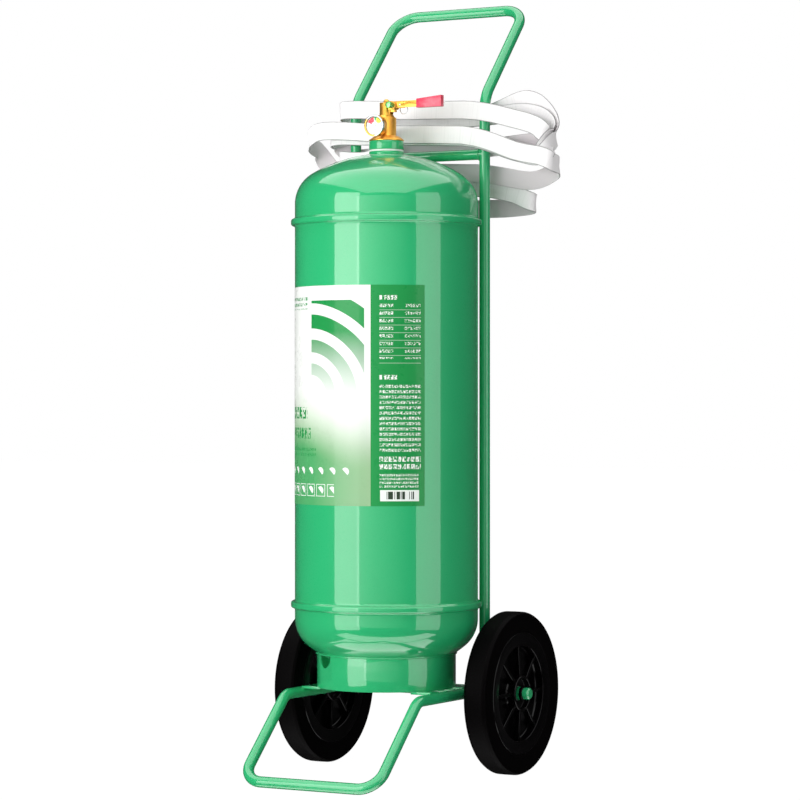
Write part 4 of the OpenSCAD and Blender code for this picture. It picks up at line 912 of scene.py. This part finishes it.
def hose_rings(path, first_heading, tail_length, size):
    """The points of every ring, and how much each lies on the face turned to the inside of the coil."""
    last = len(path) - 1
    headings = [(path[min(i + 1, last)] - path[max(i - 1, 0)]).normalized() for i in range(last + 1)]
    headings[0], headings[-1] = first_heading, -Z
    spots, inner = [], []
    for i, (point, heading) in enumerate(zip(path, headings)):
        from_start, to_end = i * RING_STEP, (last - i) * RING_STEP
        # the width stands upright, and turns sideways where the hose comes down to the nozzle
        down = min(max(1 - (to_end - TWIST_END) / TWIST_RUN, 0), 1)
        upright = Z.lerp(-X, down).normalized()
        wide = (upright - heading * upright.dot(heading)).normalized()
        thick = heading.cross(wide)
        # 1 at both ends, which are round, and 0 where the hose is flat
        share = max(1 - max(min(from_start, to_end) - ROUND_END, 0) / FLAT_RUN, 0)
        share = share * share * (3 - 2 * share)
        half_w = size.width / 2 * (1 - share) + END_RADIUS * share
        half_t = size.thickness / 2 * (1 - share) + END_RADIUS * share
        ripple = 0.00015 * noise.noise(point * 30) * (1 - share)
        # the middle of the loop that this ring winds round tells its inner face from its outer one
        in_tail = (last + 1 - i) * RING_STEP < tail_length
        left, right, core_y = (-0.08, 0.18, 0.1605) if in_tail else (-0.13, 0.22, 0.113)
        core = AXIS + Vector((min(max(point.x, left), right), core_y, point.z))
        outward = math.copysign(1, thick.dot(point - core))
        for k in range(RING_SIDES):
            a = FULL_TURN * k / RING_SIDES
            c, s = math.cos(a), math.sin(a)
            flat_w = math.copysign(abs(c) ** 0.42, c) * half_w
            flat_t = math.copysign(abs(s) ** 0.55, s) * half_t * (0.86 + 0.14 * abs(c) ** 2)
            w = flat_w * (1 - share) + c * half_w * share
            t = flat_t * (1 - share) + s * half_t * share
            spots.append(point + wide * w + thick * (t + ripple))
            # how far each point lies on the inner face, where the finish paints shade
            inner.append(max(-outward * s, 0) ** 0.3 * (1 - share))
    return spots, inner


def hose_mesh(spots, inner, girth):
    """The skin over the rings, closed at both ends, with its flat sheet for the weave."""
    sides, last = RING_SIDES, len(spots) // RING_SIDES - 1
    faces = []
    for ring in range(0, last * sides, sides):
        for k in range(sides):
            beside = (k + 1) % sides
            faces.append((ring + k, ring + beside, ring + sides + beside, ring + sides + k))
    faces += [tuple(reversed(range(sides))), tuple(range(last * sides, (last + 1) * sides))]
    mesh = bpy.data.meshes.new("hose")
    mesh.from_pydata(spots, [], faces)
    mesh.attributes.new("inner_face", "FLOAT", "POINT").data.foreach_set("value", inner)
    layer = mesh.uv_layers.new(name="hose_sheet")
    for face in mesh.polygons:
        # the face that closes a ring ends at the whole girth
        wraps = len(face.vertices) == 4 and {v % sides for v in face.vertices} == {0, sides - 1}
        for corner, v in zip(face.loop_indices, face.vertices):
            k = v % sides or (sides if wraps else 0)
            layer.data[corner].uv = (k / sides * girth, v // sides * RING_STEP)
    return mesh


class EXT_OT_hose(bpy.types.Operator):
    """Winds the flat hose round the posts, from the valve's coupling to the nozzle, and finishes both ends"""

    bl_idname = "extinguisher.hose"
    bl_label = "Hose"

    def execute(self, context):
        size = context.scene.ext_hose
        lead = [AXIS + Vector(p) for p in LEAD_POINTS]
        tail = [AXIS + Vector(p) for p in TAIL_POINTS]
        fine = [along(lead, i / 8) for i in range((len(lead) - 1) * 8)]
        fine += [coil_point(i * 12 / size.steps) for i in range(4 * size.steps)]
        fine += [along(tail, i / 8) for i in range((len(tail) - 1) * 8 + 1)]
        path = even(fine, RING_STEP)
        # the loop of the tail counts from 3 cm after the last turn
        tail_length = sum((b - a).length for a, b in zip(tail, tail[1:])) - 0.03
        spots, inner = hose_rings(path, (lead[1] - lead[0]).normalized(), tail_length, size)
        hose = bpy.data.objects.new("hose", hose_mesh(spots, inner, 2 * size.width))
        context.scene.collection.objects.link(hose)
        smooth(hose, 60)
        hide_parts("hose_lead", "hose_coil", "hose_tail")
        dress(hose, "hose_fabric", "trolley")
        held = [frame["nodes"][n] for n in ("nozzle_body", "nozzle_ball", "nozzle_grip", "nozzle_tip")]
        for node, bevel, slot, body in (
                ("hose_coupling", 0.0006, "brass", "trolley"),
                ("hose_clamp", 0.0008, "steel", "trolley"),
                ("nozzle_clamp", 0.0008, "steel", "trolley"),
                ("nozzle_lever", 0.0012, "red_plastic", "nozzle_valve")):
            held.append(dress(refined(node, bevel), slot, body))
        return {"FINISHED"}


# ---------- vessel ----------
def crown_radius(radius, depth, knuckle):
    """The radius of a head's wide crown."""
    return (depth ** 2 - knuckle ** 2 + (radius - knuckle) ** 2) / (2 * (depth - knuckle))


def crown_drop(crown, reach):
    """How far a crown lies below its top at a distance from its middle."""
    return crown - math.sqrt(crown ** 2 - reach ** 2)


def dome(radius, depth, knuckle, hole=0.0):
    """A head's outline from its hole to its base line: a wide crown, then the knuckle."""
    inner, steps = radius - knuckle, 22
    crown = crown_radius(radius, depth, knuckle)
    turn = math.asin(inner / (crown - knuckle))
    start = math.asin(hole / crown)
    line = []
    for i in range(steps + 1):
        a = start + (turn - start) * i / steps
        line.append(Vector((crown * math.sin(a), depth - crown + crown * math.cos(a))))
    for i in range(1, steps + 1):
        a = turn + (math.pi / 2 - turn) * i / steps
        line.append(Vector((inner + knuckle * math.sin(a), knuckle * math.cos(a))))
    return line


def weld_ring(name, centre, axis, radius, thickness, steps=48):
    """A bead of weld round a joint, with the ripples of its passes."""
    deselect()
    bpy.ops.mesh.primitive_torus_add(major_segments=steps, minor_segments=10, major_radius=radius,
                                     minor_radius=thickness, location=centre,
                                     rotation=Z.rotation_difference(axis).to_euler())
    piece = named(name)
    settle(piece)
    zero = X if abs(axis.x) < 0.5 else Z  # the direction that the passes are counted from
    for v in piece.data.vertices:
        away = v.co - centre
        away -= axis * away.dot(axis)
        core = centre + away.normalized() * radius
        lump = 1 + 0.22 * noise.noise(v.co * 420) + 0.12 * math.sin(away.angle(zero) * steps / 3)
        v.co = core + (v.co - core) * lump
    smooth(piece, 60)
    dress(piece, "green_paint", "trolley")


class EXT_OT_vessel(bpy.types.Operator):
    """Turns the shell with its two heads, the seams and the printed label, and adds the skirt"""

    bl_idname = "extinguisher.vessel"
    bl_label = "Vessel"

    def execute(self, context):
        size = context.scene.ext_vessel
        r, knuckle = size.radius, size.knuckle
        # the upper head's box ends at the neck's hole, a little below the crown
        hole = 0.0292
        top_base = span("top_head", 2)[1] - size.top_dome
        top_base += crown_drop(crown_radius(r, size.top_dome, knuckle), hole)
        bottom_base = span("bottom_head", 2)[0] + size.bottom_dome

        def shell(inset):
            """The outline of the shell, this far inside its outer face."""
            upper = dome(r - inset, size.top_dome - inset, knuckle - inset, hole)
            upper = [Vector((p.x, p.y + top_base)) for p in upper]
            lower = dome(r - inset, size.bottom_dome - inset, knuckle - inset)
            lower = [Vector((p.x, bottom_base - p.y)) for p in lower]
            straight = [upper[-1].lerp(Vector((upper[-1].x, bottom_base)), i / 12) for i in range(1, 12)]
            return upper + straight + lower[::-1]

        body = turned("vessel_shell", shell(0) + shell(size.wall)[::-1], AXIS, size.sides, 40)
        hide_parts("barrel", "top_head", "bottom_head")
        dress(body, "green_paint", "trolley")
        for node in ("upper_seam", "lower_seam"):
            half = half_span(node, 2)
            outline = mirrored([(r + 0.00003, -half - 0.004), (r + 0.0008, -half - 0.0006, 0.003),
                                (r + size.seam_proud, -half + 0.0006, 0.0042)])
            ring = turned(node + "_ridge", filleted(outline, 6), AXIS + Z * middle(node).z, size.sides, 50)
            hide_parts(node)
            dress(ring, "green_paint", "trolley")
        # the label's right edge lies 54 degrees from the front, and its left edge 149 degrees further
        wrap = math.radians(149)
        start = math.radians(54) - wrap
        low, high = span("label", 2)
        back, face = r + 0.00006, r + 0.00034
        film = turned("label_film", [(back, low), (face, low), (face, high), (back, high)], AXIS, 120, 30,
                      across=Vector((math.sin(start), -math.cos(start), 0)), angle=-wrap)
        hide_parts("label")
        dress(film, "label", "trolley")
        dress(refined("base_ring", 0.0005, name="skirt"), "green_paint", "trolley")
        # weld between the skirt and the lower head
        skirt_r = half_span("base_ring", 0)
        drop = crown_drop(crown_radius(r, size.bottom_dome, knuckle), skirt_r)
        meet = AXIS + Z * (bottom_base - size.bottom_dome + drop - 0.0004)
        weld_ring("skirt_weld", meet, Z, skirt_r + 0.0006, context.scene.ext_trolley.weld, 160)
        return {"FINISHED"}


# ---------- trolley ----------
class EXT_OT_trolley(bpy.types.Operator):
    """Bends the handle and the foot, and adds the cross tube, the axle's fittings and the welds"""

    bl_idname = "extinguisher.trolley"
    bl_label = "Trolley"

    def execute(self, context):
        size = context.scene.ext_trolley
        r, half = size.tube, size.spacing
        post_y, cross_z = middle("cross_tube").yz
        axle_y, axle_z = middle("axle").yz
        low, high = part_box("handle_frame")
        lean_z = 1.131  # the posts lean back above it
        handle = bent_tube("handle_tube", both_sides([
            (-half, post_y, low.z), (-half, post_y, lean_z), (-half, high.y - r, high.z - r)]),
            [size.lean_bend, size.handle_bend, size.handle_bend, size.lean_bend], r)
        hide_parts("handle_frame")
        low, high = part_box("foot_frame")
        rail_z = high.z - r
        bend_y = AXIS.y - 0.1159  # the rails turn down here
        foot = bent_tube("foot_tube", both_sides([
            (-half, axle_y, rail_z), (-half, bend_y, rail_z), (-half, low.y + r, low.z + r)]),
            [size.foot_bend, size.foot_corner, size.foot_corner, size.foot_bend], r)
        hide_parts("foot_frame")
        bar = bent_tube("cross_bar", both_sides([(-half, post_y, cross_z)]), [], r * 0.999)
        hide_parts("cross_tube")
        for tube in (handle, foot, bar):
            dress(tube, "green_paint", "trolley")
        axle_r = half_span("axle", 2)
        # each bead lies against the round of its post, 3 mm off the post's middle
        reach = half - math.sqrt(max(r * r - 0.003 ** 2, 0)) - 0.0004
        for side, tag in ((-1, "left"), (1, "right")):
            weld_ring(tag + "_cross_weld", Vector((side * reach, post_y, cross_z)), X, r + 0.0003, size.weld)
            for k, offset in enumerate((-r - 0.0003, r + 0.0003), 1):
                weld_ring(f"{tag}_axle_weld_{k}", Vector((side * half + offset, axle_y, axle_z)), X,
                          axle_r + 0.0004, size.weld)
        for node, bevel, name, slot in (
                ("skirt_lugs", 0.0004, "skirt_brackets", "green_paint"),
                ("axle", 0.0005, "axle_bar", "green_paint"),
                ("inner_spacers", 0.0004, "spacer_tubes", "green_paint"),
                ("outer_sleeves", 0.0002, "sleeve_rings", "green_paint"),
                ("axle_rings", 0.0006, "retaining_rings", "black_plastic")):
            dress(refined(node, bevel, name=name), slot, "trolley")
        return {"FINISHED"}


# ---------- wheels ----------
def hub_rib(centre, size, angle, width):
    """One rib between the boss and the rim, lower and thinner towards the rim."""
    out = Vector((0, math.sin(angle), math.cos(angle)))
    deselect()
    bpy.ops.mesh.primitive_cube_add(size=1, location=centre + out * (size.boss + size.rim) / 2,
                                    rotation=(-angle, 0, 0),
                                    scale=(width, 0.0062, size.rim - size.boss + 0.003))
    rib = named("rib")
    settle(rib)
    for v in rib.data.vertices:
        reach = (v.co - centre).dot(out)
        far = min(max((reach - size.boss) / (size.rim - size.boss), 0), 1)
        v.co.x = centre.x + (v.co.x - centre.x) * (1 - 0.22 * far)
        beside = (v.co - centre) - out * reach
        beside.x = 0
        v.co -= beside * 0.2 * far
    modify(rib, "BEVEL", width=0.0011, segments=3, limit_method="ANGLE")
    smooth(rib, 40)
    return rib


class EXT_OT_wheels(bpy.types.Operator):
    """Turns the tyres and hubs, and adds the hubs' ribs"""

    bl_idname = "extinguisher.wheels"
    bl_label = "Wheels"

    def execute(self, context):
        size = context.scene.ext_wheels
        for side, body in (("left", "left_wheel"), ("right", "right_wheel")):
            centre = middle(side + "_tyre")
            outer, half = half_span(side + "_tyre", 2), half_span(side + "_tyre", 0)
            inner = outer - 0.034  # where the tyre sits on its rim
            outline = mirrored([
                (inner + 0.0001, -half + 0.0012, 0.001), (inner + 0.0034, -half, 0.0012),
                (outer - 0.0036, -half, 0.0024), (outer - 0.0002, -half + 0.0052, size.shoulder)],
                between=[(outer, 0, 0)])
            tyre = turned(side + "_tyre_tread", filleted(outline, 6), centre, 128, 40, axis=X, across=Z)
            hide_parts(side + "_tyre")
            dress(tyre, "black_rubber", body)
            rim_r, hub_half = half_span(side + "_hub", 2), half_span(side + "_hub", 0)
            # the boss's bore is sunk at both ends, inside a lip 4 mm wide
            bore, lip, sunk = 0.01205, size.boss - 0.004, -hub_half + 0.0106
            web, rim_half = 0.003, half - 0.0005
            outline = mirrored([
                (bore, sunk), (lip, sunk, 0.0008), (lip, -hub_half, 0.0012),
                (size.boss, -hub_half, 0.0016), (size.boss, -web - 0.0015, 0.0040), (size.rim, -web, 0.0040),
                (size.rim + 0.0006, -rim_half + 0.002, 0.001), (rim_r - 0.0014, -rim_half, 0.0012),
                (rim_r, -rim_half + 0.001, 0.0006)])
            disc = turned(side + "_hub_disc", filleted(outline, 4), centre, 128, 40, axis=X, across=Z)
            ribs = [hub_rib(centre, size, FULL_TURN * k / size.ribs, 2 * rim_half - 0.005)
                    for k in range(size.ribs)]
            hub = joined(side + "_hub_disc", [disc, *ribs])
            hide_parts(side + "_hub")
            dress(hub, "black_plastic", body)
            dress(refined(side + "_bush", 0.0003), "steel", body)
        return {"FINISHED"}


# ---------- valve, gauge and nozzle ----------
class EXT_OT_valve(bpy.types.Operator):
    """Finishes the neck, the valve with its lever, pin and gauge, and the nozzle's hanger"""

    bl_idname = "extinguisher.valve"
    bl_label = "Valve"

    def execute(self, context):
        for node, bevel, slot, body in (
                ("neck_ring", 0.0008, "green_paint", "trolley"),
                ("neck_gasket", 0.0005, "white_plastic", "trolley"),
                ("valve_collar", 0.0012, "green_paint", "trolley"),
                ("valve_body", 0.0006, "brass", "trolley"),
                ("top_plug", 0.0004, "brass", "trolley"),
                ("lever", 0.0008, "brass", "lever"),
                ("lever_grip", 0.0014, "red_plastic", "lever"),
                ("pivot_bolt", 0.0012, "green_bolt", "trolley"),
                ("pivot_nut", 0.0005, "green_bolt", "trolley"),
                ("safety_pin", 0.0003, "steel", "pin"),
                ("gauge_case", 0.0005, "brass", "trolley"),
                ("gauge_bezel", 0.0005, "chrome", "trolley"),
                ("nozzle_hanger", 0.0006, "green_paint", "trolley")):
            dress(refined(node, bevel), slot, body)
        return {"FINISHED"}


class EXT_OT_inner(bpy.types.Operator):
    """Gives the frame's own solids, mostly inside the valve and vessel, their finishes"""

    bl_idname = "extinguisher.inner"
    bl_label = "Inner parts"

    def execute(self, context):
        slots = {part["node"]: part["material_slot"] for part in frame["record"]["subparts"]}
        for node, solid in frame["nodes"].items():
            paint(solid, slots[node])
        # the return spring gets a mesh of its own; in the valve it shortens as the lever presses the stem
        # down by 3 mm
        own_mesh(frame["nodes"]["stem_spring"])
        return {"FINISHED"}


class EXT_PT_panel(bpy.types.Panel):
    """Lists the steps that make the extinguisher"""

    bl_label = "Wheeled extinguisher"
    bl_space_type = "VIEW_3D"
    bl_region_type = "UI"
    bl_category = "Extinguisher"

    def draw(self, context):
        for step in STEPS:
            self.layout.operator(step.bl_idname)
        for owner, names in ((context.scene.ext_vessel, ("radius", "seam_proud", "sides")),
                             (context.scene.ext_trolley, ("lean_bend", "handle_bend", "foot_bend", "weld")),
                             (context.scene.ext_wheels, ("shoulder", "rim", "boss", "ribs")),
                             (context.scene.ext_hose, ("width", "thickness", "steps")),
                             (context.scene.ext_colours, ("green", "label_green", "brass", "red", "hose"))):
            for name in names:
                self.layout.prop(owner, name)


SETTINGS = (("ext_vessel", VesselSettings), ("ext_trolley", TrolleySettings), ("ext_wheels", WheelSettings),
            ("ext_hose", HoseSettings), ("ext_colours", FinishColours))
STEPS = (EXT_OT_finishes, EXT_OT_stage, EXT_OT_hose, EXT_OT_vessel, EXT_OT_trolley, EXT_OT_wheels,
         EXT_OT_valve, EXT_OT_inner)


def register():
    for name, kind in SETTINGS:
        bpy.utils.register_class(kind)
        setattr(bpy.types.Scene, name, PointerProperty(type=kind))
    for kind in (*STEPS, EXT_PT_panel):
        bpy.utils.register_class(kind)


def unregister():
    for kind in (EXT_PT_panel, *reversed(STEPS)):
        bpy.utils.unregister_class(kind)
    for name, kind in reversed(SETTINGS):
        delattr(bpy.types.Scene, name)
        bpy.utils.unregister_class(kind)


def main():
    register()
    bpy.ops.extinguisher.finishes()
    bpy.ops.extinguisher.stage()
    bpy.ops.extinguisher.hose()
    bpy.ops.extinguisher.vessel()
    bpy.ops.extinguisher.trolley()
    bpy.ops.extinguisher.wheels()
    bpy.ops.extinguisher.valve()
    bpy.ops.extinguisher.inner()
    deselect()


if __name__ == "__main__":
    main()
